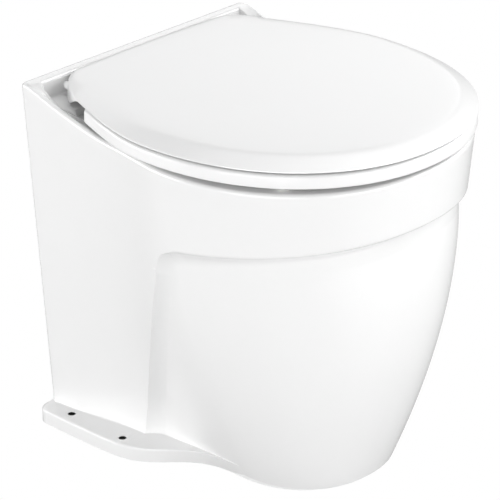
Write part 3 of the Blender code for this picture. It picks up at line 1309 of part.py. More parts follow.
# Discharge
def discharge(plastic, rubber, steel):
    neck_y = PUMP_FRONT_Y + COVER_T + GAP + CHAMBER_LEN / 2
    low = NECK_TOP_Z - VALVE_LAP
    seat_z = NECK_TOP_Z + GAP
    pocket = seat_z + VALVE_SEAT_T
    top = seat_z + VALVE_LEN
    base = Vector((DISCHARGE_X, neck_y, 0))
    turned("check_valve_body", plastic, base, (0, 0, 1),
           [(low, NECK_OUT_R + GAP), (low, VALVE_R), (top, VALVE_R), (top, NECK_OUT_R),
            (top + SPIGOT_LEN, NECK_OUT_R), (top + SPIGOT_LEN, NECK_IN_R), (top - CLAMP_T, NECK_IN_R),
            (top - CLAMP_T, VALVE_POCKET_R), (pocket, VALVE_POCKET_R), (pocket, NECK_IN_R),
            (seat_z, NECK_IN_R), (seat_z, NECK_OUT_R + GAP), (low, NECK_OUT_R + GAP)], 28)
    hinge_y = neck_y + FLAP_R
    flap_z = pocket + GAP
    flap = turned("check_valve_flap", rubber, base, (0, 0, 1),
                  rod_profile(flap_z, flap_z + FLAP_T, FLAP_R), 24)
    eye = turned("eye_part", None, (DISCHARGE_X - FLAP_EYE_LEN / 2, hinge_y, flap_z + FLAP_T), (1, 0, 0),
                 rod_profile(0, FLAP_EYE_LEN, FLAP_EYE_R), 12)
    boolean(flap, eye, "UNION")
    elbow_path = [base + Vector((0, 0, top + GAP)), base + Vector((0, 0, top + SPIGOT_LEN + GAP))]
    bend_z = ELBOW_LOW_Z
    centre = base + Vector((0, ELBOW_BEND_R, bend_z))
    for i in range(BEND_STEPS + 1):
        angle = pi / 2 * i / BEND_STEPS
        elbow_path.append(centre + Vector((0, -cos(angle), sin(angle))) * ELBOW_BEND_R)
    radii = [ELBOW_SOCKET_R] * 2 + [ELBOW_R] * (BEND_STEPS + 1)
    end = ELBOW_TOP_Z
    barb_start = ELBOW_END_Y - BARBS * BARB_PITCH
    for i in range(BARBS):
        y = barb_start + i * BARB_PITCH
        elbow_path += [Vector((DISCHARGE_X, y, end)), Vector((DISCHARGE_X, y + GAP * 2, end))]
        radii += [ELBOW_R, BARB_R]
    elbow_path.append(Vector((DISCHARGE_X, ELBOW_END_Y, end)))
    radii.append(ELBOW_R)
    elbow = hollow_sweep("discharge_elbow", plastic, elbow_path, radii, NECK_IN_R, BOOT_SIDES)
    socket = turned("socket_cut", None, base, (0, 0, 1),
                    rod_profile(top - OVERRUN, top + SPIGOT_LEN + GAP, NECK_OUT_R + GAP), 24)
    boolean(elbow, socket)
    band_clamp("elbow_clamp", steel, base + Vector((0, 0, top + GAP * 2)), (0, 0, 1), ELBOW_SOCKET_R)
    pivot("elbow_axis", base + Vector((0, 0, top)), ("discharge_elbow", "elbow_clamp"))
    pivot("flap_axis", (DISCHARGE_X, hinge_y, flap_z + FLAP_T), ("check_valve_flap",))


# Rinse water
def rinse_valve(plastic, coil, steel):
    low = Vector((RINSE_X - RINSE_BODY / 2, RINSE_Y - RINSE_BODY / 2, RINSE_Z))
    high = Vector((RINSE_X + RINSE_BODY / 2, RINSE_Y + RINSE_BODY / 2, RINSE_Z + RINSE_BODY_H))
    body = slab("rinse_valve_body", plastic, low, high, RINSE_BODY / 8, 2, 2)
    mid_z = RINSE_Z + RINSE_BODY_H / 2
    port = RINSE_BODY / 2 + BARB_LEN
    barbs = turned("barb_part", None, (RINSE_X, RINSE_Y - port, mid_z), (0, 1, 0),
                   rod_profile(0, port * 2, RINSE_TUBE_R), 16)
    boolean(body, barbs, "UNION")
    guide = turned("guide_part", None, (RINSE_X, RINSE_Y, 0), (0, 0, 1),
                   rod_profile(high.z - OVERRUN, high.z + COIL_H, GUIDE_R), 20)
    boolean(body, guide, "UNION")
    bore = turned("bore_cut", None, (RINSE_X, RINSE_Y - port - OVERRUN, mid_z), (0, 1, 0),
                  rod_profile(0, (port + OVERRUN) * 2, RINSE_BORE_R), 12)
    boolean(body, bore)
    well = turned("well_cut", None, (RINSE_X, RINSE_Y, 0), (0, 0, 1),
                  rod_profile(mid_z, high.z + COIL_H + OVERRUN, GUIDE_R - GUIDE_WALL), 20)
    boolean(body, well)
    turned("solenoid_coil", coil, (RINSE_X, RINSE_Y, high.z), (0, 0, 1),
           pipe_profile(GAP, COIL_H - GAP, COIL_R, GUIDE_R + GAP), 24)
    turned("solenoid_plunger", steel, (RINSE_X, RINSE_Y, mid_z), (0, 0, 1),
           rod_profile(GAP, GAP + PLUNGER_LEN, PLUNGER_R), 16)
    spring_low = mid_z + PLUNGER_LEN + GAP * 2
    stop_z = high.z + COIL_H - CLAMP_T
    coil_spring("plunger_spring", steel, RINSE_X, RINSE_Y, spring_low, stop_z - GAP * 2)
    guide_top = high.z + COIL_H
    plug_r = GUIDE_R - GUIDE_WALL - GAP
    turned("solenoid_stop", steel, (RINSE_X, RINSE_Y, 0), (0, 0, 1),
           [(stop_z, 0), (stop_z, plug_r), (guide_top + GAP, plug_r), (guide_top + GAP, GUIDE_R + CLAMP_T),
            (guide_top + CLAMP_T * 2, GUIDE_R + CLAMP_T), (guide_top + CLAMP_T * 2, 0)], 20)
    pivot("plunger_axis", (RINSE_X, RINSE_Y, mid_z), ("solenoid_plunger",))
    return mid_z


def coil_spring(name, mat, x, y, low, high):
    """A round-wire spring, as one swept wire with flat cut ends."""
    path = []
    per_turn = 10
    count = SPRING_TURNS * per_turn
    for i in range(count + 1):
        angle = 2 * pi * i / per_turn
        z = low + SPRING_WIRE_R + (high - low - SPRING_WIRE_R * 2) * i / count
        path.append((x + SPRING_R * cos(angle), y + SPRING_R * sin(angle), z))
    curve = bpy.data.curves.new(name, "CURVE")
    curve.dimensions = "3D"
    curve.bevel_depth = SPRING_WIRE_R
    curve.bevel_resolution = 1
    curve.use_fill_caps = True
    spline = curve.splines.new("POLY")
    spline.points.add(count)
    for point, place in zip(spline.points, path):
        point.co = (*place, 1)
    curve.materials.append(mat)
    obj = bpy.data.objects.new(name, curve)
    bpy.context.collection.objects.link(obj)
    pitch = (high - low - SPRING_WIRE_R * 2) / SPRING_TURNS
    print("plunger spring: least gap between turns", round((pitch - 2 * SPRING_WIRE_R) / MM, 2), "mm")
    return obj


def rim_nozzle(nylon):
    wall_in, wall_out = nozzle_walls()
    start = wall_in - NOZZLE_FLANGE_T
    shank_r = NOZZLE_R - GAP * 2
    shank_end = wall_out + NOZZLE_NUT_T + GAP * 4
    barb_end = wall_out + NOZZLE_NUT_T + BARB_LEN
    turned("rim_nozzle", nylon, (0, 0, NOZZLE_Z), (0, 1, 0),
           [(start - NOZZLE_FLANGE_T, RINSE_BORE_R), (start - NOZZLE_FLANGE_T, shank_r), (shank_end, shank_r),
            (shank_end, RINSE_TUBE_R), (barb_end, RINSE_TUBE_R), (barb_end, RINSE_BORE_R),
            (start - NOZZLE_FLANGE_T, RINSE_BORE_R)], 20)
    nut = turned("nozzle_nut", nylon, (0, wall_out + GAP, NOZZLE_Z), (0, 1, 0),
                 rod_profile(0, NOZZLE_NUT_T, NOZZLE_NUT_R), NUT_SIDES)
    bore = turned("nut_cut", None, (0, wall_out + GAP, NOZZLE_Z), (0, 1, 0),
                  rod_profile(-OVERRUN, NOZZLE_NUT_T + OVERRUN, NOZZLE_R), 20)
    boolean(nut, bore)
    return barb_end


# The rinse hose's route, chosen by hand: across as a share of the valve's distance from the middle,
# forward as a share of the hose's reach before the valve, and up as a share from the valve to the nozzle
HOSE_ROUTE_SHARES = ((1, 0.778, 0), (1.01, 1, 0.1), (1.03, 0.963, 0.3), (0.917, 0.593, 0.586),
                     (0.61, 0.148, 0.857), (0.19, 0.074, 0.986))


def rinse_hose(rubber, steel, mid_z, nozzle_end):
    inner = (RINSE_TUBE_R + GAP) / cos(pi / HOSE_SIDES)
    outer = inner + HOSE_WALL
    band = (outer + GAP) / cos(pi / HOSE_SIDES)
    valve_end = RINSE_Y - RINSE_BODY / 2 - GAP
    straight = valve_end - BARB_LEN - CLAMP_W
    nozzle_start = nozzle_end - BARB_LEN + GAP * 6
    middle = [(RINSE_X * across, RINSE_Y - HOSE_REACH * ahead, mid_z + (NOZZLE_Z - mid_z) * up)
              for across, ahead, up in HOSE_ROUTE_SHARES]
    route = [(RINSE_X, valve_end, mid_z), (RINSE_X, straight, mid_z), *middle,
             (0, nozzle_end + CLAMP_W, NOZZLE_Z), (0, nozzle_start, NOZZLE_Z)]
    path = [Vector(route[0]), *smooth_path(route[1:-1], HOSE_STEP), Vector(route[-1])]
    hollow_sweep("rinse_hose", rubber, path, outer, inner, HOSE_SIDES)
    turned("hose_clip_valve", steel, (RINSE_X, valve_end - CLAMP_W, mid_z), (0, 1, 0),
           pipe_profile(0, CLAMP_W / 2, band + CLAMP_T, band), HOSE_SIDES)
    turned("hose_clip_nozzle", steel, (0, nozzle_start + CLAMP_W / 4, NOZZLE_Z), (0, 1, 0),
           pipe_profile(0, CLAMP_W / 2, band + CLAMP_T, band), HOSE_SIDES)


def wiring(plastic):
    face = RINSE_Y + STAND_T / 2 + GAP
    slab("terminal_box", plastic, (RINSE_X - TERMINAL_W / 2, face, TERMINAL_Z - TERMINAL_H / 2),
         (RINSE_X + TERMINAL_W / 2, face + TERMINAL_D, TERMINAL_Z + TERMINAL_H / 2), TERMINAL_D / 6, 1, 2)


def build():
    clear_scene()
    china = material("glazed_china", (0.93, 0.93, 0.92), 0.08)
    plastic = material("gloss_seat_plastic", (0.94, 0.94, 0.935), 0.15)
    rubber = material("black_rubber", (0.03, 0.03, 0.03), 0.6)
    steel = material("stainless_steel", (0.62, 0.62, 0.61), 0.25, 1.0)
    nylon = material("white_nylon", (0.8, 0.8, 0.78), 0.4)
    moulded = material("black_moulded_plastic", (0.05, 0.05, 0.055), 0.45)
    painted = material("painted_motor_steel", (0.12, 0.13, 0.14), 0.4)
    magnet = material("ferrite", (0.08, 0.08, 0.085), 0.7)
    copper = material("varnished_copper", (0.55, 0.27, 0.12), 0.4, 0.8)
    carbon = material("carbon_brush", (0.04, 0.04, 0.04), 0.8)
    china_body(china)
    china_bowl(china)
    seat_ring(plastic)
    seat_lid(plastic)
    hinge_hardware(steel, nylon)
    bumpers(nylon)
    hinge = (0, HINGE_Y, HINGE_Z)
    pads = [f"seat_bumper_{end}_{side}" for end in ("front", "rear") for side in ("left", "right")]
    seat_axis = pivot("seat_axis", hinge, ["seat_ring", *pads])
    pivot("lid_axis", hinge, ("seat_lid", "lid_bumper_left", "lid_bumper_right"), seat_axis)
    outlet_boot(rubber, steel)
    pump_back = pump(moulded, steel, rubber)
    motor(pump_back, steel, painted, magnet, copper, carbon)
    pivot("rotor_axis", (0, PUMP_FRONT_Y, PUMP_Z), ("motor_shaft", "armature", "impeller", "chopper_blade"))
    cradle(steel)
    discharge(moulded, rubber, steel)
    mid_z = rinse_valve(moulded, copper, steel)
    nozzle_end = rim_nozzle(nylon)
    rinse_hose(rubber, steel, mid_z, nozzle_end)
    wiring(moulded)


build()
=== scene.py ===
# %% [markdown]
# # A white marine toilet on white paper
#
# A small boat's toilet: a glazed china pan, a moulded seat and lid, and a macerator pump that shows only
# through the service opening at the back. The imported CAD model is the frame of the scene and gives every
# piece its name, its place and the body that moves it. The china, the seat and the lid are built again
# with finer curves, because the picture is about them. Every other piece keeps its CAD mesh and gets a
# finish. All lengths are metres in the CAD model's own frame: +Z up, the bulkhead at +Y.

# %% [markdown]
# ## The frame
# It could be called after the modelling, but with the pieces there first, every new shape can be
# measured against them.

# %% Load the frame
import json
from math import sin, cos, pi, radians, sqrt, exp, hypot

import bpy
import bmesh
from mathutils import Matrix, Vector

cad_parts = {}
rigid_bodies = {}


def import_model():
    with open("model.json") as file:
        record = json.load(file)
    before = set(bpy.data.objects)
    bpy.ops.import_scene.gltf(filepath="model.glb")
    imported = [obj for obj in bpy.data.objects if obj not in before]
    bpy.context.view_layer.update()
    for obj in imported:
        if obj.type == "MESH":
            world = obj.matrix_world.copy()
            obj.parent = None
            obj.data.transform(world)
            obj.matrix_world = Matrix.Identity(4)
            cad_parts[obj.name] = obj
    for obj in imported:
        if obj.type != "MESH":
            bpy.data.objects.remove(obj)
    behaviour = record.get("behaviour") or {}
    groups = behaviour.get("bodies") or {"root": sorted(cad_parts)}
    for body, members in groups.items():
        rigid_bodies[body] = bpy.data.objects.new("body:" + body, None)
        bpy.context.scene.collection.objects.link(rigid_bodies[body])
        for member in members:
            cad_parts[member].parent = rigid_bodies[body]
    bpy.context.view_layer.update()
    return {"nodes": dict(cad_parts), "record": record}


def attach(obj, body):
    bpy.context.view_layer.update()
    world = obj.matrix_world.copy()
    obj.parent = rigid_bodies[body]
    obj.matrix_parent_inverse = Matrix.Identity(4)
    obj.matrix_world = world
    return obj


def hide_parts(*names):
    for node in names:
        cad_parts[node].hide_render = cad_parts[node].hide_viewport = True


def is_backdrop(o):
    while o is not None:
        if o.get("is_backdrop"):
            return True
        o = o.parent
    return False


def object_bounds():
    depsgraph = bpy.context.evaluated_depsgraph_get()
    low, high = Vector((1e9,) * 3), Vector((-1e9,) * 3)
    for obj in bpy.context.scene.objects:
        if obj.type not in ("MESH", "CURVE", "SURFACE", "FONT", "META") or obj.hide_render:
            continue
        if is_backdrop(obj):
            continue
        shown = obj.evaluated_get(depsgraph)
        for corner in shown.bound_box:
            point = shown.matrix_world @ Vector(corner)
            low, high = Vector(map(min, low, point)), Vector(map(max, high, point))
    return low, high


for thing in list(bpy.data.objects):
    bpy.data.objects.remove(thing, do_unlink=True)
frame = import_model()
nodes = frame["nodes"]
scene = bpy.context.scene
MM = 0.001
print("CAD pieces:", len(nodes))

# %% [markdown]
# ## Camera
# China is photographed from far away with a long lens, so that its upright edges stay nearly parallel.
# Place and lens were fitted to the photograph. The small shift slides the picture without turning
# the camera, as the rising front of a view camera does. Moving the camera would change the perspective.

# %% Camera
CAMERA_PLACE, CAMERA_TARGET = (-1.9035, -1.7520, 1.4263), (0, 0.0355, 0.2)
LENS, SENSOR = 208.1, 36
SHIFT_X, SHIFT_Y = -0.0028, -0.0101


def point_at(thing, target):
    """Turns a camera or a lamp so that it looks at a place."""
    aim = Vector(target) - thing.location
    thing.rotation_euler = aim.to_track_quat("-Z", "Y").to_euler()


bpy.ops.object.camera_add(location=CAMERA_PLACE)
camera = bpy.context.object
point_at(camera, CAMERA_TARGET)
camera.data.lens, camera.data.sensor_width = LENS, SENSOR
camera.data.shift_x, camera.data.shift_y = SHIFT_X, SHIFT_Y
scene.camera = camera
print("camera distance, m:", round((camera.location - Vector(CAMERA_TARGET)).length, 3))

# %% [markdown]
# ## Floor
# The pan stands on a sheet of paper that runs out of the picture on all sides. One large plane does it.
# The plane lies a hair below the foot, because two faces in the same place would flicker.

# %% Floor
FLOOR_SIZE, FLOOR_DROP = 14, 0.3 * MM
bpy.ops.mesh.primitive_plane_add(size=FLOOR_SIZE, location=(0, 0, -FLOOR_DROP))
floor = bpy.context.object
floor.name = "floor"
floor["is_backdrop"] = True
print("floor side, m:", FLOOR_SIZE)

# %% [markdown]
# ## Sky
# A weak, even world light stands for the studio's white walls. It keeps the hollows from going black. All
# the shape comes from the lamps. The Standard view transform keeps white china white.

# %% Sky
WORLD_LIGHT = 0.12
scene.view_settings.view_transform = "Standard"
world = bpy.data.worlds.new("studio")
scene.world = world
world.use_nodes = True
sky = world.node_tree.nodes["Background"]
sky.inputs["Color"].default_value = (1, 1, 1, 1)
sky.inputs["Strength"].default_value = WORLD_LIGHT
print("world light:", WORLD_LIGHT)

# %% [markdown]
# ## Lamps
# White on white needs large, soft lamps. Three low strips light the upright walls, a wide lamp hangs over
# the lid, a card on the right whitens the round front, and a card behind is what the glossy lid mirrors
# towards the camera. A single sun would give hard shadows that the photograph doesn't have.

# %% Lamps
MIDDLE = (0, 0, 0.2)
LAMPS = (
    # name, place, target, width, height, watts
    ("left_strip", (-2.6, -1.1, 0.3), MIDDLE, 2.6, 0.6, 39),
    ("bulkhead_strip", (-1.9, 2.2, 0.3), MIDDLE, 2.6, 0.6, 45),
    ("front_strip", (0.2, -2.9, 0.3), MIDDLE, 2.6, 0.6, 42),
    ("overhead", (0, 0, 2.8), MIDDLE, 2.6, 2.6, 27),
    ("right_card", (2.0, -1.2, 1.8), MIDDLE, 1.6, 1.2, 50),
    ("mirror_card", (1.6, 2.1, 1.7), (0, 0, 0.3), 3.0, 1.6, 20),
)
for name, place, target, width, height, power in LAMPS:
    bpy.ops.object.light_add(type="AREA", location=place)
    lamp = bpy.context.object
    lamp.name = name
    lamp.data.shape = "RECTANGLE"
    lamp.data.size, lamp.data.size_y = width, height
    lamp.data.energy = power
    point_at(lamp, target)
    print(name, power, "W,", width, "x", height, "m")

# %% [markdown]
# ## Shared effect: an uneven skin
# No cast or moulded surface is quite flat. A slow wave bends the mirror image in a glaze, and a fine grain
# breaks up the gloss of plastic. Both are noises that feed bumps, so no geometry is needed. They are one
# node group, because every material here uses them with its own sizes.

# %% Node group: uneven skin
WAVE_DEPTH, GRAIN_DEPTH = 2 * MM, 0.2 * MM


def new_group(name, sockets):
    """An empty node group with its sockets; a row is label, kind, way and first value."""
    group = bpy.data.node_groups.new(name, "ShaderNodeTree")
    for label, kind, way, value in sockets:
        item = group.interface.new_socket(name=label, in_out=way, socket_type=kind)
        if value is not None:
            item.default_value = value
    return group, group.nodes.new("NodeGroupInput"), group.nodes.new("NodeGroupOutput")


def unevenness_group():
    group, inp, out = new_group("cast_unevenness", (
        ("Wave size", "NodeSocketFloat", "INPUT", 9.0),
        ("Grain size", "NodeSocketFloat", "INPUT", 900.0),
        ("Wave", "NodeSocketFloat", "INPUT", 0.1),
        ("Grain", "NodeSocketFloat", "INPUT", 0.05),
        ("Normal", "NodeSocketVector", "OUTPUT", None)))
    place = group.nodes.new("ShaderNodeTexCoord")
    normal = None
    for effect, depth in (("Wave", WAVE_DEPTH), ("Grain", GRAIN_DEPTH)):
        noise = group.nodes.new("ShaderNodeTexNoise")
        bump = group.nodes.new("ShaderNodeBump")
        bump.inputs["Distance"].default_value = depth
        group.links.new(place.outputs["Object"], noise.inputs["Vector"])
        group.links.new(inp.outputs[effect + " size"], noise.inputs["Scale"])
        group.links.new(noise.outputs["Fac"], bump.inputs["Height"])
        group.links.new(inp.outputs[effect], bump.inputs["Strength"])
        if normal:
            group.links.new(normal, bump.inputs["Normal"])
        normal = bump.outputs["Normal"]
    group.links.new(normal, out.inputs["Normal"])
    return group


UNEVENNESS = unevenness_group()
print("group", UNEVENNESS.name, "with", len(UNEVENNESS.nodes), "nodes")

# %% [markdown]
# ## Shared effect: marks of handling
# A used surface is never one colour or one gloss. Large soft patches mix in a second tint, and finer
# streaks raise and lower the roughness around its middle value. Painted textures could do it too, but
# noise on Object coordinates needs no unwrapping and fits every piece.

# %% Noise and Math nodes
def noise_node(group, place, scale, detail):
    noise = group.nodes.new("ShaderNodeTexNoise")
    noise.inputs["Scale"].default_value = scale
    noise.inputs["Detail"].default_value = detail
    group.links.new(place, noise.inputs["Vector"])
    return noise.outputs["Fac"]


def math_node(group, operation, *values):
    """A Math node; a value is a number or the output socket of another node."""
    node = group.nodes.new("ShaderNodeMath")
    node.operation = operation
    for socket, value in zip(node.inputs, values):
        if isinstance(value, (int, float)):
            socket.default_value = value
        else:
            group.links.new(value, socket)
    return node.outputs[0]


PATCH_SCALE, PATCH_DETAIL, STREAK_SCALE, STREAK_DETAIL, NOISE_MIDDLE = 14, 6, 120, 3, 0.5
print("patches are", round(STREAK_SCALE / PATCH_SCALE), "times as large as streaks")

# %% [markdown]
# Wired up, the streaks are centred on zero first, so that they leave the middle roughness as it is.

# %% Node group: handling marks
def marks_group():
    group, inp, out = new_group("handling_marks", (
        ("Roughness", "NodeSocketFloat", "INPUT", 0.2),
        ("Spread", "NodeSocketFloat", "INPUT", 0.05),
        ("Color", "NodeSocketColor", "INPUT", (1, 1, 1, 1)),
        ("Tint", "NodeSocketColor", "INPUT", (1, 1, 1, 1)),
        ("Tint share", "NodeSocketFloat", "INPUT", 0.2),
        ("Color out", "NodeSocketColor", "OUTPUT", None),
        ("Roughness out", "NodeSocketFloat", "OUTPUT", None)))
    place = group.nodes.new("ShaderNodeTexCoord").outputs["Object"]
    patches = noise_node(group, place, PATCH_SCALE, PATCH_DETAIL)
    streaks = noise_node(group, place, STREAK_SCALE, STREAK_DETAIL)
    centred = math_node(group, "SUBTRACT", streaks, NOISE_MIDDLE)
    rough = math_node(group, "MULTIPLY_ADD", centred, inp.outputs["Spread"], inp.outputs["Roughness"])
    share = math_node(group, "MULTIPLY", patches, inp.outputs["Tint share"])
    mix = group.nodes.new("ShaderNodeMix")
    mix.data_type = "RGBA"
    group.links.new(share, mix.inputs["Factor"])
    group.links.new(inp.outputs["Color"], mix.inputs["A"])
    group.links.new(inp.outputs["Tint"], mix.inputs["B"])
    group.links.new(mix.outputs["Result"], out.inputs["Color out"])
    group.links.new(rough, out.inputs["Roughness out"])
    return group


MARKS = marks_group()
print("group", MARKS.name, "with", len(MARKS.nodes), "nodes")

# %% [markdown]
# ## Shared effect: drawn lines
# Bar steel shows the lines of its drawing, and a coil the lines of its windings. A noise that is squeezed
# along one axis gives both. The group takes the normal of the uneven skin and adds its lines to it.

# %% Node group: drawn lines
LINE_SCALE, LINE_DETAIL, LINE_STRENGTH, LINE_DEPTH = 40, 4, 0.25, 0.1 * MM


def lines_group():
    group, inp, out = new_group("drawn_lines", (
        ("Stretch", "NodeSocketVector", "INPUT", (1, 1, 1)),
        ("Normal", "NodeSocketVector", "INPUT", None),
        ("Normal", "NodeSocketVector", "OUTPUT", None)))
    place = group.nodes.new("ShaderNodeTexCoord")
    squeeze = group.nodes.new("ShaderNodeMapping")
    group.links.new(place.outputs["Object"], squeeze.inputs["Vector"])
    group.links.new(inp.outputs["Stretch"], squeeze.inputs["Scale"])
    lines = noise_node(group, squeeze.outputs["Vector"], LINE_SCALE, LINE_DETAIL)
    bump = group.nodes.new("ShaderNodeBump")
    bump.inputs["Strength"].default_value = LINE_STRENGTH
    bump.inputs["Distance"].default_value = LINE_DEPTH
    group.links.new(lines, bump.inputs["Height"])
    group.links.new(inp.outputs["Normal"], bump.inputs["Normal"])
    group.links.new(bump.outputs["Normal"], out.inputs["Normal"])
    return group


LINES = lines_group()
print("group", LINES.name, "with", len(LINES.nodes), "nodes")

# %% [markdown]
# ## From groups to a finish
# Each finish is one Principled shader. The groups give its colour, roughness and normal, and the rest are
# plain values. One function makes them all, so that a finish is a single line that can be compared.

# %% A finish
SCATTER_DEPTH = 4 * MM


def place_group(tree, group, values):
    """Puts a group in a material's tree and sets its inputs."""
    node = tree.nodes.new("ShaderNodeGroup")
    node.node_tree = group
    for label, value in values.items():
        node.inputs[label].default_value = value
    return node


def finish(name, color, tint, rough, spread, wave=0.0, grain=0.05, tint_share=0.3, metallic=0.0, coat=0.0,
           coat_rough=0.06, grain_size=900.0, wave_size=9.0, subsurface=0.0, stretch=None):
    """A Principled material whose colour, gloss and normal come from the shared groups."""
    mat = bpy.data.materials.new(name)
    mat.use_nodes = True
    tree = mat.node_tree
    shader = tree.nodes["Principled BSDF"]
    for label, value in (("Metallic", metallic), ("Coat Weight", coat), ("Coat Roughness", coat_rough),
                         ("Subsurface Weight", subsurface), ("Subsurface Scale", SCATTER_DEPTH)):
        shader.inputs[label].default_value = value
    marks = place_group(tree, MARKS, {"Roughness": rough, "Spread": spread, "Color": (*color, 1),
                                      "Tint": (*tint, 1), "Tint share": tint_share})
    uneven = place_group(tree, UNEVENNESS, {"Wave size": wave_size, "Grain size": grain_size,
                                            "Wave": wave, "Grain": grain})
    normal = uneven.outputs["Normal"]
    if stretch:
        lines = place_group(tree, LINES, {"Stretch": stretch})
        tree.links.new(normal, lines.inputs["Normal"])
        normal = lines.outputs["Normal"]
    tree.links.new(marks.outputs["Color out"], shader.inputs["Base Color"])
    tree.links.new(marks.outputs["Roughness out"], shader.inputs["Roughness"])
    tree.links.new(normal, shader.inputs["Normal"])
    print("finish", name, "- roughness", rough, "coat", coat)
    return mat


print("light scatters", round(SCATTER_DEPTH / MM), "mm deep in nylon")

# %% [markdown]
# ## Glaze, seat plastic and painted shade in the bores
# Glaze is a layer of glass over white china: a clear coat with a slow wave, as on an orange's peel. The
# moulded seat is a shade lighter and softer in gloss. Inside the bolt holes the walls get a near-black
# colour, which is painted shade for the dark in the holes, so they read as black dots.

# %% The white finishes
china = finish("glazed_china", (0.93, 0.93, 0.93), (0.9, 0.905, 0.9), 0.24, 0.04, wave=0.035, grain=0.02,
               coat=0.5, coat_rough=0.14, wave_size=14)
seat_plastic = finish("gloss_seat_plastic", (0.945, 0.945, 0.945), (0.925, 0.93, 0.93), 0.32, 0.05,
                      wave=0.02, grain=0.03, coat=0.25, grain_size=1400)
# Painted shade: the bore walls get a near-black colour that stands for the dark inside the bolt holes.
painted_bore_shade = finish("bore_painted_shade", (0.03, 0.03, 0.03), (0.05, 0.048, 0.045), 0.9, 0.05, grain=0.4)

# %% [markdown]
# ## Rubber and working plastics
# Behind the pan nothing is meant to be seen. Rubber is nearly black and dull, the pump's plastic is black
# with a spark-eroded grain, and white nylon lets a little light in.

# %% Rubber and plastics
rubber = finish("black_rubber", (0.022, 0.022, 0.022), (0.05, 0.048, 0.045), 0.62, 0.2, grain=0.5,
                grain_size=700)
nylon = finish("white_nylon", (0.84, 0.84, 0.82), (0.78, 0.77, 0.73), 0.4, 0.1, grain=0.15,
               subsurface=0.1)
moulded = finish("black_moulded_plastic", (0.035, 0.035, 0.038), (0.065, 0.065, 0.068), 0.42, 0.14,
                 grain=0.5, grain_size=1600)

# %% [markdown]
# ## Metals and the motor
# The motor's can is painted steel, its magnets are ferrite, its brushes carbon. Shafts, screws and clamps
# are drawn stainless steel. The coil's copper is varnished, so it is a metal under a thin clear coat.

# %% Metals and motor finishes
steel = finish("stainless_steel", (0.6, 0.6, 0.59), (0.48, 0.47, 0.45), 0.26, 0.16, grain=0.1,
               metallic=1.0, stretch=(1, 30, 30))
painted = finish("painted_motor_steel", (0.1, 0.11, 0.12), (0.16, 0.165, 0.17), 0.36, 0.12, wave=0.1,
                 grain=0.35, grain_size=450, coat=0.15)
ferrite = finish("ferrite", (0.07, 0.07, 0.075), (0.1, 0.095, 0.09), 0.7, 0.15, grain=0.8,
                 grain_size=1200)
copper = finish("varnished_copper", (0.52, 0.24, 0.1), (0.34, 0.13, 0.05), 0.32, 0.12, grain=0.3,
                metallic=0.85, coat=0.4, stretch=(60, 2, 60))
carbon = finish("carbon_brush", (0.03, 0.03, 0.03), (0.06, 0.06, 0.06), 0.75, 0.15, grain=0.9,
                grain_size=1500)

# %% [markdown]
# ## Paper
# The photograph is cut out on pure white. Paper that is lit until the camera sees it white would throw so
# much light back that the pan would lose its shape. So the camera sees an even glow, and every other ray
# meets a paper that returns a third of its light.

# %% Paper floor
PAPER = (0.34, 0.34, 0.34)
paper = finish("paper_floor", PAPER, (0.32, 0.32, 0.32), 0.7, 0.05, grain=0.1)
tree = paper.node_tree
glow = tree.nodes.new("ShaderNodeEmission")
seen = tree.nodes.new("ShaderNodeLightPath")
mix = tree.nodes.new("ShaderNodeMixShader")
tree.links.new(seen.outputs["Is Camera Ray"], mix.inputs["Fac"])
tree.links.new(tree.nodes["Principled BSDF"].outputs["BSDF"], mix.inputs[1])
tree.links.new(glow.outputs["Emission"], mix.inputs[2])
tree.links.new(mix.outputs["Shader"], tree.nodes["Material Output"].inputs["Surface"])
floor.data.materials.append(paper)
print("the paper gives back", PAPER[0], "of the light")

# %% [markdown]
# ## Rings and skins
# China, lid and seat have no flat face and no straight edge to start from, so a primitive can't give them
# and pushing a grid by hand wouldn't repeat. They are lofted instead: a shape is a list of rings with the
# same number of points, and a skin joins each ring to the next. Sculpting would be the other way.

# %% Ring helpers
def smooth(t):
    """0 up to 0, 1 from 1 on, and an even ease between them."""
    t = min(1.0, max(0.0, t))
    return t * t * (3 - 2 * t)


def between(pair, share):
    return pair[0] + (pair[1] - pair[0]) * share


def mirrored(half):
    """One half's points from the middle of the back to the front, and back along the other side."""
    return [Vector(p) for p in half] + [Vector((-x, y, z)) for x, y, z in half[-2:0:-1]]


def skin(bm, rings, closed=False):
    """Joins rings to faces; a closed skin also joins the last ring to the first."""
    rows = [[bm.verts.new(p) for p in ring] for ring in rings]
    pairs = list(zip(rows, rows[1:])) + ([(rows[-1], rows[0])] if closed else [])
    for low, high in pairs:
        for i in range(len(low)):
            j = (i + 1) % len(low)
            bm.faces.new((low[i], low[j], high[j], high[i]))
    return rows


print("half way up, the ease is at", smooth(0.5))

# %% [markdown]
# ## A curve through rows of numbers
# The bowl is drawn by seven levels and needs many more to be smooth. A Catmull-Rom spline passes through
# every given row, so the drawn levels stay exactly where they are. A Bezier curve would need handles.

# %% Spline
def spline(rows, count):
    """Count rows evenly spaced on a smooth curve through the given rows of numbers."""
    rows = [tuple(row) for row in rows]
    ends = [tuple(2 * a - b for a, b in zip(rows[0], rows[1])), *rows,
            tuple(2 * a - b for a, b in zip(rows[-1], rows[-2]))]
    found = []
    for k in range(count):
        at = k / (count - 1) * (len(rows) - 1)
        i = min(int(at), len(rows) - 2)
        t = at - i
        a, b, c, d = ends[i:i + 4]
        found.append(tuple(
            0.5 * (2 * q + (r - p) * t + (2 * p - 5 * q + 4 * r - s) * t * t
                   + (3 * q - p - 3 * r + s) * t ** 3) for p, q, r, s in zip(a, b, c, d)))
    return found


print("a spline through 0, 1, 4 at its middle:", spline([(0,), (1,), (4,)], 3)[1])

# %% [markdown]
# ## Handing a piece over
# A finished piece gets its material and smooth shading with its real edges kept sharp. It is then
# attached to the body it moves with, and the CAD nodes it stands for are hidden.

# %% Hand a piece over
SHARP_ANGLE = 35


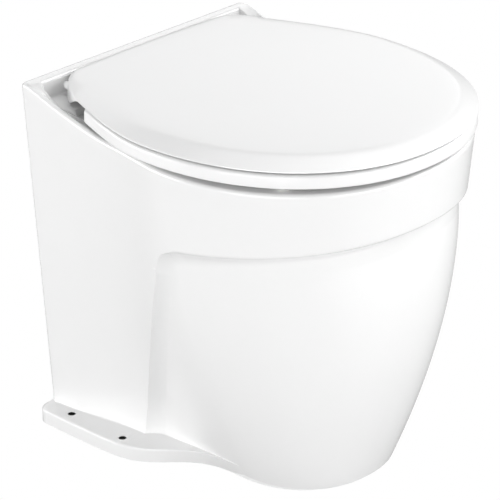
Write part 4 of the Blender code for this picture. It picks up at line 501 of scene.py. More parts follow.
def hand_over(piece, name, mat, body, replaced, angle=SHARP_ANGLE):
    piece.name = piece.data.name = name
    piece.data.shade_smooth()
    piece.data.set_sharp_from_angle(angle=radians(angle))
    piece.data.materials.clear()
    piece.data.materials.append(mat)
    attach(piece, body)
    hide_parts(*replaced)
    print(name, "rides", body, "with", len(piece.data.polygons), "faces")
    return piece


def piece_from(bm):
    """The object of a finished skin, with its faces pointing outwards."""
    bmesh.ops.recalc_face_normals(bm, faces=bm.faces)
    mesh = bpy.data.meshes.new("skin")
    bm.to_mesh(mesh)
    bm.free()
    piece = bpy.data.objects.new("skin", mesh)
    scene.collection.objects.link(piece)
    return piece


print("edges over", SHARP_ANGLE, "degrees stay sharp")

# %% [markdown]
# ## Pan: its main sizes
# Every level of the china is one closed ring with the same columns. From the back they are the flat back,
# the rear corner, the straight side, the rounded edge of the recess, the bend of its fold, the side of the
# foot and the round front. The columns stand close together where the shape turns fast.

# %% Pan sizes and columns
RIM_Z, PARAPET_Z, DECK_Z = 350 * MM, 375.5 * MM, 355 * MM
CREASE_Z, WALL_FOOT_Z, WALL = 264 * MM, 24 * MM, 9 * MM
BACK_Y, CENTRE_Y, BACK_CORNER = 198.5 * MM, -14.5 * MM, 6 * MM
STRIPS = (
    # strip, steps, first column, end of the range
    ("back", 5, 0, 5), ("corner", 5, 0, 6), ("side", 30, 1, 31), ("edge", 4, 1, 5),
    ("bend", 24, 1, 25), ("recess", 12, 1, 12), ("front", 48, 0, 49),
)
columns = [(kind, i / steps) for kind, steps, first, end in STRIPS for i in range(first, end)]
print("columns in half a ring:", len(columns))

# %% [markdown]
# ## Pan: the box that the walls follow
# Seen from above, the walls run nearly straight from the back and swell into the round rim. Towards the
# floor they draw in, most of all beside the outlet. A few smooth terms add up to it, and each can be
# changed alone.

# %% Box of the walls
BACK_HALF, SWELL, SWELL_PLACE = 156 * MM, 21 * MM, 0.36
TAPER_BACK, TAPER_FRONT = 28 * MM, 31 * MM
FOOT_TUCK, TUCK_PEAK, TUCK_FALL = 21 * MM, 6.75, 2.4
RIM_HALF, RIM_FRONT, RIM_POWER = BACK_HALF + SWELL, 180 * MM, 2.117


def fall(z):
    """0 at the top of the parapet and 1 at the foot of the walls."""
    return min(1.0, max(0.0, (PARAPET_Z - z) / (PARAPET_Z - WALL_FOOT_Z)))


def box_half(y, z):
    """Half width of the walls at a depth and a height."""
    share = min(1.0, max(0.0, (y - CENTRE_Y) / (BACK_Y - CENTRE_Y)))
    lowest = 1 / (1 + 1 / SWELL_PLACE ** 2)
    swell = (1 / (1 + (share / SWELL_PLACE) ** 2) - lowest) / (1 - lowest)
    taper = between((TAPER_FRONT, TAPER_BACK), share)
    tuck = FOOT_TUCK * share * (1 - share) ** 2 * TUCK_PEAK
    return BACK_HALF + SWELL * swell - taper * fall(z) - tuck * fall(z) ** TUCK_FALL


print("width at the rim and at the floor, mm:",
      [round(2 * box_half(CENTRE_Y, z) / MM) for z in (RIM_Z, 0)])

# %% [markdown]
# ## Pan: the foot in the recess
# Below the rim band the front of the pan is a narrower, rounder foot. Its outline is a quarter of a
# superellipse: power 2 is an ellipse, and a higher power is squarer. Behind its widest level the foot runs
# back to the bottom of the recess, which is evenly deep along its edge.

# %% Foot
FOOT_HALF, FOOT_FRONT = (89 * MM, 157 * MM), (86 * MM, 157 * MM)
FOOT_CENTRE, FOOT_POWER, FOOT_GROWTH = (-39.5 * MM, CENTRE_Y), (2.15, 2.4), 1.75
CREASE_RISE, CREASE_CURVE, CREASE_CORNER = 26 * MM, 0.8, 30 * MM
EDGE_Y, EDGE_TOP_Z = (79 * MM, 5.5 * MM), CREASE_Z - CREASE_CORNER
RECESS_DEPTH = 11 * MM


def arc_point(half, front, centre, power, share):
    angle = share * pi / 2
    return half * max(0.0, cos(angle)) ** (2 / power), centre - front * sin(angle) ** (2 / power)


def edge_y(z):
    """Depth of the recess's rear edge. It leans back towards the floor."""
    return between(EDGE_Y, min(1.0, z / EDGE_TOP_Z))


def foot_sizes(z):
    share = min(1.0, max(0.0, z / CREASE_Z))
    grow = 1 - (1 - share) ** FOOT_GROWTH
    return (between(FOOT_HALF, grow), between(FOOT_FRONT, grow),
            between(FOOT_CENTRE, share), between(FOOT_POWER, share))


def foot_side(y, z, shift=0.0):
    """Half width of the foot behind its widest level; it runs out to the recess's even depth."""
    half, _, centre, _ = foot_sizes(z)
    turn = edge_y(z) + shift
    share = max(0.0, (y - centre) / (turn - centre))
    return half + (box_half(turn, z) - RECESS_DEPTH - half) * min(1.0, share) ** 2


print("foot's width at the floor and at the crease, mm:",
      [round(2 * foot_sizes(z)[0] / MM) for z in (0, CREASE_Z)])

# %% [markdown]
# ## Pan: where the columns stand
# A column's depth is the same for the box and for the foot, so the two outlines can be mixed point by
# point. With an inset the same functions give the inside of the wall.

# %% Column places
EDGE_ROUND, FOLD_REACH, FOLD_SHARE, BEND_CROWD = 2.5 * MM, 52 * MM, 0.75, 1.25
LEAST_CORNER = BACK_CORNER / 4


def back_point(kind, share, half, radius, back):
    if kind == "back":
        return share * (half - radius), back
    angle = share * pi / 2
    return half - radius * (1 - sin(angle)), back - radius * (1 - cos(angle))


def column_y(kind, share, z, inset=0.0, shift=0.0):
    """Depth of a column between the rear corner and the round front; they crowd together at the fold."""
    turn, target = edge_y(z) + shift, foot_sizes(z)[2]
    start = BACK_Y - inset - max(BACK_CORNER - inset, LEAST_CORNER)
    if kind == "side":
        return start + (turn + EDGE_ROUND - start) * share
    if kind == "edge":
        return turn + EDGE_ROUND * (1 - share)
    last = turn - min(FOLD_REACH, FOLD_SHARE * (turn - target))
    if kind == "bend":
        return turn + (last - turn) * share ** BEND_CROWD
    return last + (target - last) * share


print("the side's last column at the floor, mm:", round(column_y("side", 1, 0) / MM, 1))

# %% [markdown]
# ## Pan: the two outlines
# The box and the foot are now functions of a column and a height. Where they share a depth, mixing them is
# only a matter of width.

# %% Box and foot points
def box_point(kind, share, z, inset=0.0, shift=0.0):
    if kind in ("back", "corner"):
        radius = max(BACK_CORNER - inset, LEAST_CORNER)
        return back_point(kind, share, box_half(BACK_Y, z) - inset, radius, BACK_Y - inset)
    if kind == "front":
        drawn_in = TAPER_FRONT * fall(z) + inset
        return arc_point(RIM_HALF - drawn_in, RIM_FRONT - drawn_in, foot_sizes(z)[2], RIM_POWER, share)
    y = column_y(kind, share, z, inset, shift)
    return box_half(y, z) - inset, y


def foot_point(kind, share, z, inset=0.0, shift=0.0):
    half, front, centre, power = foot_sizes(z)
    if kind == "front":
        return arc_point(half - inset, front - inset, centre, power, share)
    y = column_y(kind, share, z, inset, shift)
    return foot_side(y, z, shift) - inset, y


print("the pan's front tip, mm:", round(box_point("front", 1, RIM_Z)[1] / MM, 1))

# %% [markdown]
# ## Pan: the fold
# The rim band and the rear wall sink into the foot along one soft fold with a round upper corner. A fold
# could be modelled as a bevelled step, but a bevel has one width. Here `inside` measures how far a spot
# lies within the recess, and an ease turns that distance into a mix of the two outlines: quick at the edge
# and slow into the foot.

# %% Fold
GUIDE_LOW, GUIDE_HIGH, GUIDE_DIP, GUIDE_SPAN = 44 * MM, 12 * MM, 0.6, 1.5


def ahead_share(kind, share):
    """0 beside and behind the bowl, 1 at the front tip."""
    return max(0.0, (CENTRE_Y - box_point(kind, share, CREASE_Z)[1]) / RIM_FRONT)


def crease_z(kind, share):
    """Height of the rim band's lower edge. It rises towards the front."""
    return CREASE_Z + CREASE_RISE * ahead_share(kind, share) ** CREASE_CURVE


def guide_z(kind, share):
    """The height that the close rings follow: the crease, dipping at the recess's rounded corner."""
    ahead = edge_y(CREASE_Z) - box_point(kind, share, CREASE_Z)[1]
    past = smooth((ahead + CREASE_CORNER / 2) / (GUIDE_SPAN * CREASE_CORNER))
    return crease_z(kind, share) - GUIDE_DIP * CREASE_CORNER * (1 - past)


def inside(kind, share, y, z, shift):
    """How far a spot lies inside the recess, seen from the side. The outline's upper corner is round."""
    along, under = edge_y(z) + shift - y, crease_z(kind, share) - z
    if along < CREASE_CORNER and under < CREASE_CORNER:
        return CREASE_CORNER - hypot(CREASE_CORNER - along, CREASE_CORNER - under)
    return min(along, under)


print("the crease rises from", round(CREASE_Z / MM), "to", round(crease_z("front", 1) / MM), "mm")

# %% [markdown]
# ## Pan: the outer skin
# The mix of box and foot is the wall that is seen. With an inset and a shift it is the wall's inner face.

# %% Outer skin
FOLD_WIDTH, FOLD_EASE = (15 * MM, 9 * MM), 0.42


def wall_point(kind, share, z, inset=0.0, shift=0.0):
    """The outer skin: the box, sinking to the foot in the fold."""
    bx, by = box_point(kind, share, z, inset, shift)
    if kind in ("back", "corner"):
        return bx, by
    fx, fy = foot_point(kind, share, z, inset, shift)
    width = between(FOLD_WIDTH, smooth(2 * ahead_share(kind, share)))
    at = (inside(kind, share, fy, z, shift) + EDGE_ROUND) / (width + EDGE_ROUND)
    mix = smooth(at) ** FOLD_EASE
    return bx + (fx - bx) * mix, by + (fy - by) * mix


print("front tip at half height, mm:", round(wall_point("front", 1, CREASE_Z / 2)[1] / MM, 1))

# %% [markdown]
# ## Pan: the flange
# The pan is bolted down by a flat flange. It is widest at the back and swings into the foot in an S-curve,
# which is a logistic step. Its rear corners are rounded.

# %% Flange outline
FLANGE_H, FLANGE_ROUND, FLANGE_CORNER = 15.5 * MM, 2.6 * MM, 13 * MM
FLANGE_HALF, FLANGE_TURN_Y, FLANGE_TURN_LEN = 148 * MM, 36.5 * MM, 15 * MM


def flange_swing(y):
    """1 at the back, 0 where the flange has run into the foot."""
    return 1 / (1 + exp(-(y - FLANGE_TURN_Y) / FLANGE_TURN_LEN))


def flange_point(kind, share, z, inset=0.0):
    if kind in ("back", "corner"):
        return back_point(kind, share, FLANGE_HALF - inset, FLANGE_CORNER, BACK_Y - inset)
    half, front, centre, power = foot_sizes(z)
    if kind == "front":
        return arc_point(half - inset, front - inset, centre, power, share)
    y = column_y(kind, share, z)
    x = half + (FLANGE_HALF - half) * flange_swing(y) - inset
    return x, min(y, BACK_Y - inset - FLANGE_CORNER)


print("flange, mm:", round(2 * FLANGE_HALF / MM), "wide and", FLANGE_H / MM, "high")

# %% [markdown]
# ## Pan: rings of the flange and its fillet
# A rounded edge is a few rings along a quarter circle. The first group rounds the flange's top edge, the
# second is the small fillet where the glaze has gathered between flange and wall.

# %% Rings of the flange
FLANGE_FILLET, FILLET_START, FILLET_STEPS, EDGE_STEPS = 2 * MM, 0.1 * MM, 4, 5


def quarter(steps):
    """Sine and cosine along a quarter circle."""
    return [(sin(pi / 2 * i / steps), cos(pi / 2 * i / steps)) for i in range(steps + 1)]


def edge_swing(kind, share, z):
    if kind in ("back", "corner"):
        return 1.0
    return 0.0 if kind == "front" else flange_swing(column_y(kind, share, z))


def fillet_point(kind, share, z, reach):
    """The foot of the wall, pushed out by the fillet wherever there is a flange."""
    x, y = wall_point(kind, share, z)
    if kind not in ("back", "corner", "front"):
        x, y = wall_point(kind, share, z, -reach * flange_swing(y))
    return x, min(y, BACK_Y), z


pan_rings = [[(*flange_point(k, s, z), z) for k, s in columns] for z in (0, FLANGE_H / 2)]
for rise, fade in quarter(EDGE_STEPS):
    z = FLANGE_H - FLANGE_ROUND * (1 - rise)
    pan_rings.append([(*flange_point(k, s, z, FLANGE_ROUND * (1 - fade) * edge_swing(k, s, z)), z)
                      for k, s in columns])
for rise, fade in quarter(FILLET_STEPS):
    z = FLANGE_H + FLANGE_FILLET * (1 - fade) + FILLET_START
    pan_rings.append([fillet_point(k, s, z, FLANGE_FILLET * (1 - rise)) for k, s in columns])
print("rings so far:", len(pan_rings))

# %% [markdown]
# ## Pan: rings of the walls
# The rings follow the crease, because a ring that crosses a fold at a slant would show as a staircase.
# They stand wide apart on the plain wall and close together through the fold.

# %% Rings of the walls
WALL_STEPS, FOLD_STEPS, BAND_STEPS, BAND_SPACING = 18, 40, 9, 9.5
WING_FRONT_Y, WING_CURVE, PARAPET_T, RIM_ROUND = 75.5 * MM, 1.6, 14 * MM, 4 * MM


def top_z(kind, y, front_y, curve):
    """The top edge: level at the back, and falling along the wings to the rim."""
    if kind in ("back", "corner"):
        return PARAPET_Z
    share = min(1.0, max(0.0, (y - front_y) / (BACK_Y - PARAPET_T - front_y)))
    return between((RIM_Z, PARAPET_Z), share ** curve)


def wall_height(kind, share, part, step):
    """Height of one wall point: part is foot, fold or band."""
    guide = guide_z(kind, share)
    if part == "foot":
        return between((WALL_FOOT_Z, guide - GUIDE_LOW), step / WALL_STEPS)
    if part == "fold":
        return between((guide - GUIDE_LOW, guide + GUIDE_HIGH), step / FOLD_STEPS)
    top = top_z(kind, box_point(kind, share, RIM_Z)[1], WING_FRONT_Y, WING_CURVE) - RIM_ROUND
    return between((guide + GUIDE_HIGH, top), step / BAND_SPACING)


for part, steps in (("foot", range(WALL_STEPS)), ("fold", range(FOLD_STEPS + 1)),
                    ("band", range(1, BAND_STEPS + 1))):
    for step in steps:
        ring = []
        for k, s in columns:
            z = wall_height(k, s, part, step)
            ring.append((*wall_point(k, s, z), z))
        pan_rings.append(ring)
print("rings so far:", len(pan_rings))

# %% [markdown]
# ## Pan: rounded top edge
# The top edge of wall, wings and parapet is one continuous quarter round, as the mould leaves it.

# %% Rings of the top edge
for rise, fade in quarter(EDGE_STEPS):
    ring = []
    for k, s in columns:
        inset = RIM_ROUND * (1 - fade)
        y = box_point(k, s, RIM_Z, inset)[1]
        z = top_z(k, y, WING_FRONT_Y, WING_CURVE) - RIM_ROUND * (1 - rise)
        ring.append((*box_point(k, s, z, inset), z))
    pan_rings.append(ring)
print("top edge, mm:", round(max(p[2] for p in pan_rings[-1]) / MM, 1))

# %% [markdown]
# ## Pan: the tray behind the seat
# Parapet and wings stand like a low wall round a level deck, where the hinges are bolted. The wall's inner
# edge and its foot are rounded, with a radius that shrinks where the wall runs out.

# %% Rings of the tray
WING_T, WING_INNER_Y, WING_INNER_CURVE = 12 * MM, 147.5 * MM, 0.8
DECK_FRONT_Y, TRAY_ROUND, TRAY_LEAST, TRAY_START = 144.5 * MM, 3 * MM, 0.3 * MM, 0.2


def tray_ring(past, lift):
    """A ring of the tray's wall: past is its way beyond the inner face, lift 1 at the top and -1 below."""
    ring = []
    for kind, s in columns:
        rear = kind in ("back", "corner")
        wide = PARAPET_T if rear else WING_T
        y = box_point(kind, s, RIM_Z, wide)[1]
        low = DECK_Z if rear or y > DECK_FRONT_Y else RIM_Z
        high = max(top_z(kind, y, WING_INNER_Y, WING_INNER_CURVE), low + TRAY_LEAST)
        radius = min(TRAY_ROUND, (high - low) / 2)
        x, y = box_point(kind, s, RIM_Z, wide + past * radius)
        z = high - radius * (1 - lift) if lift >= 0 else low + radius * (1 + lift)
        ring.append((x, min(y, BACK_Y - wide - past * radius), z))
    return ring


pan_rings += [tray_ring(rise - 1, fade) for rise, fade in quarter(FILLET_STEPS)]
pan_rings += [tray_ring(between((TRAY_START, 1), 1 - fade), -rise)
              for rise, fade in quarter(FILLET_STEPS)]
print("the deck lies", round((PARAPET_Z - DECK_Z) / MM, 1), "mm below the parapet")

# %% [markdown]
# ## Pan: from the deck down to the rim
# The deck ends in a soft step, and the rim's level top lies under the seat. The last of these rings is the
# edge of the bowl.

# %% Rings of the deck's step
DECK_HALF, DECK_STEP, RIM_INSET, DECK_SWEEP = 133 * MM, 4 * MM, 20 * MM, 8
STEP_SHARES = (0, 0.33, 0.67, 1)


def step_point(kind, s, step):
    """A point of the step: step is 0 at the deck's edge and 1 at the rim."""
    rise = (DECK_Z - RIM_Z) * smooth(1 - step)
    if kind == "back":
        return s * DECK_HALF, DECK_FRONT_Y - DECK_STEP * step, RIM_Z + rise
    if kind == "corner":
        return DECK_HALF + DECK_STEP * s, DECK_FRONT_Y - DECK_STEP * (step + s), RIM_Z + rise * (1 - s)
    inset = RIM_INSET + DECK_STEP * step
    if kind == "side":
        far = DECK_FRONT_Y - DECK_STEP * (1 + step)
        y = far + (edge_y(RIM_Z) + EDGE_ROUND - far) * s
        wide = box_half(y, RIM_Z) - inset
        return wide + (DECK_HALF + DECK_STEP - wide) * (1 - s) ** DECK_SWEEP, y, RIM_Z
    return (*box_point(kind, s, RIM_Z, inset), RIM_Z)


for step in STEP_SHARES:
    pan_rings.append([step_point(k, s, step) for k, s in columns])
print("rings so far:", len(pan_rings))

# %% [markdown]
# ## Pan: the bowl
# The bowl narrows in a smooth curve to the outlet. Each row of the table is one level: its height, the
# depth of its centre, its half width, and its reach to the front and to the rear, all in mm. Every point
# keeps the direction that its column has at the bowl's edge, so the columns run straight down the bowl.

# %% Rings of the bowl
BOWL_Y, BOWL_LEVELS = -35 * MM, 25
BOWL = ((347.8, -35, 118, 125, 112), (341.3, -35, 115, 121.9, 109.2), (299.9, -35, 110.9, 117.5, 105.3),
        (249.7, -32, 97.1, 102.9, 92.2), (205, -25, 76.7, 81.3, 72.8), (168, -12, 51.3, 54.4, 48.7),
        (146, 0, 33.4, 35.4, 31.7))
OUTLET = ((132, 5, 22.5, 22.5, 22.5), (110, 5, 22.5, 22.5, 22.5), (110, 5, 29, 29, 29),
          (132, 5, 29, 29, 29))
UNDER = ((142, 1, 41.3, 43.8, 39.2), (159.9, -11, 62.5, 66.3, 59.4), (198.1, -25, 87.1, 92.3, 82.7),
         (244.9, -32, 108.1, 114.5, 102.6), (299.9, -35, 119.9, 126.5, 114.3),
         (338, -35, 124, 130.9, 118.2))
ways = [Vector((x, y - BOWL_Y)).normalized() for x, y, _ in pan_rings[-1]]


def bowl_ring(row):
    z, centre, half, front, rear = (v * MM for v in row)
    ring = []
    for dx, dy in ways:
        radius = 1 / sqrt((dx / half) ** 2 + (dy / (front if dy < 0 else rear)) ** 2)
        ring.append((dx * radius, centre + dy * radius, z))
    return ring


pan_rings += [bowl_ring(row) for row in (*spline(BOWL, BOWL_LEVELS), *OUTLET, *UNDER)]
print("bowl depth, mm:", round((RIM_Z - OUTLET[0][0] * MM) / MM))

# %% [markdown]
# ## Pan: the hollow underneath
# China is cast with one even wall. The inside follows the outside at that distance, down to the open foot.

# %% Rings of the hollow
RIM_THICK, HOLLOW_SHARES = 12 * MM, (0.9, 0.7, 0.5, 0.3, 0.1)
for z in (RIM_Z - RIM_THICK, (RIM_Z + CREASE_Z) / 2):
    pan_rings.append([(*box_point(k, s, z, WALL, WALL), z) for k, s in columns])
for share in HOLLOW_SHARES:
    ring = []
    for k, s in columns:
        z = crease_z(k, s) * share
        ring.append((*wall_point(k, s, z, WALL, WALL), z))
    pan_rings.append(ring)
pan_rings.append([(*wall_point(k, s, WALL_FOOT_Z, WALL, WALL), 0) for k, s in columns])

bm = bmesh.new()
skin(bm, [mirrored(ring) for ring in pan_rings], closed=True)
pan = hand_over(piece_from(bm), "pan_china", china, "pan", ("china_body", "china_bowl"))
print("rings in all:", len(pan_rings))

# %% [markdown]
# ## Working by hand, in code
# Holes and plain parts start as primitives. A primitive is added at its size and place, and its place goes
# into its mesh, so that the object itself stays at the origin. Everything is deselected first, because an
# operator acts on all that is selected.

# %% Primitives
def alone(piece):
    """Makes a piece the only selected object, and the active one."""
    bpy.ops.object.select_all(action="DESELECT")
    piece.select_set(True)
    bpy.context.view_layer.objects.active = piece


def cylinder(start, axis, radius, length, sides=24):
    """A cylinder that runs from the start point along an axis."""
    axis = Vector(axis)
    bpy.ops.object.select_all(action="DESELECT")
    bpy.ops.mesh.primitive_cylinder_add(
        vertices=sides, radius=radius, depth=length, location=Vector(start) + axis * length / 2,
        rotation=axis.to_track_quat("Z", "Y").to_euler())
    bpy.ops.object.transform_apply(location=True, rotation=True, scale=True)
    return bpy.context.object


def box(low, high):
    """A box between two corners."""
    low, high = Vector(low), Vector(high)
    bpy.ops.object.select_all(action="DESELECT")
    bpy.ops.mesh.primitive_cube_add(size=1, location=(low + high) / 2)
    bpy.context.object.scale = high - low
    bpy.ops.object.transform_apply(location=True, rotation=True, scale=True)
    return bpy.context.object


# %% [markdown]
# ## Picking faces and edges
# By hand one clicks. In code, faces and edges are picked by where they lie, because their numbers change
# with every operator. The test is made in object mode, and edit mode opens with only those selected.

# %% Picking
NEAR = 0.01 * MM


def pick(piece, kind, wanted):
    """Opens edit mode with only the wanted edges or faces selected; the test gets their corners."""
    mesh = piece.data
    items = mesh.edges if kind == "edges" else mesh.polygons
    bpy.context.tool_settings.mesh_select_mode = (False, kind == "edges", kind == "faces")
    for item in (*mesh.vertices, *mesh.edges, *mesh.polygons):
        item.select = False
    for item in items:
        item.select = wanted([mesh.vertices[i].co for i in item.vertices])
    alone(piece)
    bpy.ops.object.mode_set(mode="EDIT")


def done(piece):
    bpy.ops.object.mode_set(mode="OBJECT")
    return piece


print("a spot counts as on a plane within", NEAR / MM, "mm")

# %% [markdown]
# ## Steps along an axis
# A turned end is made as on paper: extrude the round face a little, scale it, and do it again. Spinning a
# profile would work too, but an end of three steps is quicker to extrude.

# %% Extrude and scale
def step_out(piece, axis, along, radius, steps, pointed=False):
    """Extrudes the end face at a distance along the axis; each step is a rise and the radius after it."""
    axis = Vector(axis)
    pick(piece, "faces", lambda spots: all(abs(spot.dot(axis) - along) < NEAR for spot in spots))
    for i, (rise, wider) in enumerate(steps):
        along += rise
        bpy.ops.mesh.extrude_region_move(TRANSFORM_OT_translate={"value": axis * rise})
        if pointed and i == len(steps) - 1:
            bpy.ops.mesh.merge(type="CENTER")
            break
        ends = [v.co for v in bmesh.from_edit_mesh(piece.data).verts if v.select]
        centre = sum(ends, Vector()) / len(ends)
        flat = [1 if abs(part) > 0.5 else wider / radius for part in axis]
        bpy.ops.transform.resize(value=flat, center_override=centre)
        radius = wider
    return done(piece)


trial = step_out(cylinder((0, 0, 0), (0, 0, 1), 4 * MM, 9 * MM), (0, 0, 1), 9 * MM, 4 * MM,
                 ((1 * MM, 5 * MM),))
print("a trial end, mm:", [round(v / MM, 2) for v in trial.dimensions])
bpy.data.objects.remove(trial, do_unlink=True)

# %% [markdown]
# ## Cutting
# All the tools for one cut are joined and used once. A Boolean modifier that is applied leaves a plain
# mesh, so nothing depends on the tools afterwards and they are removed.

# %% Cut with tools
def cut(piece, tools, operation="DIFFERENCE", angle=SHARP_ANGLE):
    """Applies one Boolean with all the tools joined, and keeps only its result."""
    before = len(piece.data.polygons)
    alone(tools[0])
    if len(tools) > 1:
        for tool in tools[1:]:
            tool.select_set(True)
        bpy.ops.object.join()
    modifier = piece.modifiers.new("cut", "BOOLEAN")
    modifier.solver = "EXACT"
    modifier.operation = operation
    modifier.object = tools[0]
    alone(piece)
    bpy.ops.object.modifier_apply(modifier=modifier.name)
    bpy.data.objects.remove(tools[0], do_unlink=True)
    piece.data.shade_smooth()
    piece.data.set_sharp_from_angle(angle=radians(angle))
    print(piece.name, operation.lower(), before, "to", len(piece.data.polygons), "faces")


CUT_OVER = 5 * MM
print("a tool reaches", round(CUT_OVER / MM), "mm past the face it cuts")

# %% [markdown]
# ## Pan: bolt holes
# Four deck bolts go through the flange. Glaze pulls back from a hole's edge and leaves a small rounded
# lip. The tool is made once with that lip and copied, and each copy has its own mesh.

# %% Tools for the bolt holes
BOLT_X, BOLT_YS, BOLT_R, LIP_DEPTH = 134 * MM, (161.5 * MM, 87.5 * MM), 4 * MM, 1 * MM
LIP = ((0.7 * MM, 4.3 * MM), (0.4 * MM, 5 * MM), (4.9 * MM, 6 * MM))


def copy_at(tool, place):
    twin = tool.copy()
    twin.data = tool.data.copy()
    twin.data.transform(Matrix.Translation(place))
    scene.collection.objects.link(twin)
    return twin


bolt_tool = cylinder((0, 0, -CUT_OVER), (0, 0, 1), BOLT_R, CUT_OVER + FLANGE_H - LIP_DEPTH, sides=32)
step_out(bolt_tool, (0, 0, 1), FLANGE_H - LIP_DEPTH, BOLT_R, LIP)
pan_tools = [copy_at(bolt_tool, (x, y, 0)) for x in (-BOLT_X, BOLT_X) for y in BOLT_YS]
bpy.data.objects.remove(bolt_tool, do_unlink=True)
print("bolt holes:", len(pan_tools))

# %% [markdown]
# ## Pan: hinge studs and ear grooves
# A stud goes down through the deck at each hinge. Beside it, a shallow groove leaves room for the lid's
# ear to swing. The groove is the lower part of a cylinder round the hinge's axis: the cylinder is bisected
# at the deck, and its cut face is extruded upwards.

# %% Tools for studs and grooves
HINGE_Y, HINGE_Z = 169 * MM, 370 * MM
STUD_X, STUD_R, STUD_ENDS = 77.5 * MM, 4.6 * MM, (330 * MM, 362 * MM)
GROOVE_X, GROOVE_WIDE, GROOVE_R = 105.5 * MM, 10 * MM, 20 * MM


def groove(sign):
    tool = cylinder((sign * GROOVE_X, HINGE_Y, HINGE_Z), (sign, 0, 0), GROOVE_R, GROOVE_WIDE, sides=64)
    pick(tool, "faces", lambda spots: True)
    bpy.ops.mesh.bisect(plane_co=(0, 0, DECK_Z), plane_no=(0, 0, 1), use_fill=True, clear_outer=True)
    done(tool)
    pick(tool, "faces", lambda spots: all(abs(spot.z - DECK_Z) < NEAR for spot in spots))
    bpy.ops.mesh.extrude_region_move(TRANSFORM_OT_translate={"value": (0, 0, CUT_OVER)})
    return done(tool)


for sign in (-1, 1):
    low, high = STUD_ENDS
    pan_tools.append(cylinder((sign * STUD_X, HINGE_Y, low), (0, 0, 1), STUD_R, high - low))
    pan_tools.append(groove(sign))
print("a groove, mm:", [round(v / MM, 1) for v in pan_tools[-1].dimensions])

# %% [markdown]
# ## Pan: service opening and rinse bore
# The pump is reached through an opening in the back with large round corners: a box whose four long edges
# are bevelled. The rinse nozzle enters the bowl's rear wall through a plain bore.

# %% Tools for the opening and the rinse bore
DOOR_HALF, DOOR_LOW, DOOR_HIGH, DOOR_ROUND, ROUND_STEPS = 80 * MM, 26 * MM, 240 * MM, 18 * MM, 8
RINSE_Y, RINSE_Z, RINSE_R, RINSE_LONG = 59 * MM, 318 * MM, 10.3 * MM, 44 * MM

door = box((-DOOR_HALF, BACK_Y - 2 * WALL, DOOR_LOW), (DOOR_HALF, BACK_Y + CUT_OVER, DOOR_HIGH))
pick(door, "edges", lambda ends: abs(ends[0].y - ends[1].y) > WALL)
bpy.ops.mesh.bevel(offset_type="OFFSET", offset=DOOR_ROUND, segments=ROUND_STEPS, affect="EDGES")
pan_tools.append(done(door))
pan_tools.append(cylinder((0, RINSE_Y, RINSE_Z), (0, 1, 0), RINSE_R, RINSE_LONG, sides=32))
print("opening, mm:", [round(v / MM) for v in door.dimensions])

# %% [markdown]
# ## Pan: cutting the holes
# The bore walls then get the near-black painted shade. They are found by their distance from the bolts'
# axes.

# %% Cut the pan
PAN_SHARP, BORE_NEAR, BORE_TOP = 38, 4.2 * MM, FLANGE_H - 0.8 * MM
cut(pan, pan_tools, angle=PAN_SHARP)
pan.data.materials.append(painted_bore_shade)
# Painted shade: faces inside the bolt bores get the near-black material that stands for the dark in the
# holes.
painted_shade = 0
for face in pan.data.polygons:
    at = face.center
    if at.z < BORE_TOP and any(hypot(abs(at.x) - BOLT_X, at.y - y) < BORE_NEAR for y in BOLT_YS):
        face.material_index = 1
        painted_shade += 1
print("bare faces in the bores:", painted_shade)

# %% [markdown]
# ## Lid: its outline
# From above the lid is a half superellipse in front, with sides that draw in towards the hinges and round
# rear corners. It has columns like the pan's.

# %% Lid outline
LID_HALF, LID_FRONT, LID_Y, LID_REAR_Y = 180 * MM, 200.6 * MM, 3.4 * MM, 183 * MM
LID_CORNER_X, LID_CORNER_Y = 20 * MM, 27 * MM
LID_NARROW, LID_FLARE, LID_TUCK, LID_TUCK_Y = 0.635, 0.353, 14 * MM, 130.5 * MM
LID_STRIPS = (("rear", 16, 0), ("corner", 16, 1), ("side", 60, 1), ("front", 60, 1))
lid_columns = [(kind, i / steps) for kind, steps, first in LID_STRIPS for i in range(first, steps + 1)]


def lid_half(y):
    t = max(0.0, (y - LID_Y) / (LID_REAR_Y - LID_Y))
    tuck = max(0.0, (y - LID_TUCK_Y) / (LID_REAR_Y - LID_TUCK_Y))
    return LID_HALF * (1 - LID_NARROW * t * t + LID_FLARE * t * t * t) - LID_TUCK * tuck


def lid_point(kind, share, inset):
    across, along = max(LID_CORNER_X - inset, MM), max(LID_CORNER_Y - inset, MM)
    back = LID_REAR_Y - inset
    if kind == "rear":
        return share * (lid_half(back) - inset - across), back
    if kind == "corner":
        y = back - along * (1 - cos(share * pi / 2))
        return lid_half(y) - inset - across * (1 - sin(share * pi / 2)), y
    if kind == "side":
        y = between((back - along, LID_Y), share)
        return lid_half(y) - inset, y
    return arc_point(LID_HALF - inset, LID_FRONT - inset, LID_Y, RIM_POWER, share)


lid_long = LID_REAR_Y + LID_FRONT - LID_Y
print("lid, mm:", round(2 * LID_HALF / MM), "wide and", round(lid_long / MM), "long")

# %% [markdown]
# ## Lid: dome, border and ears
# The top is a shallow dome with a bevelled border, and its rear edge rolls down over the hinges. The two
# tables are those sections: inset and drop in mm. The lower edge is level along the front, comes down as
# an ear at each hinge, and is higher between the hinges.

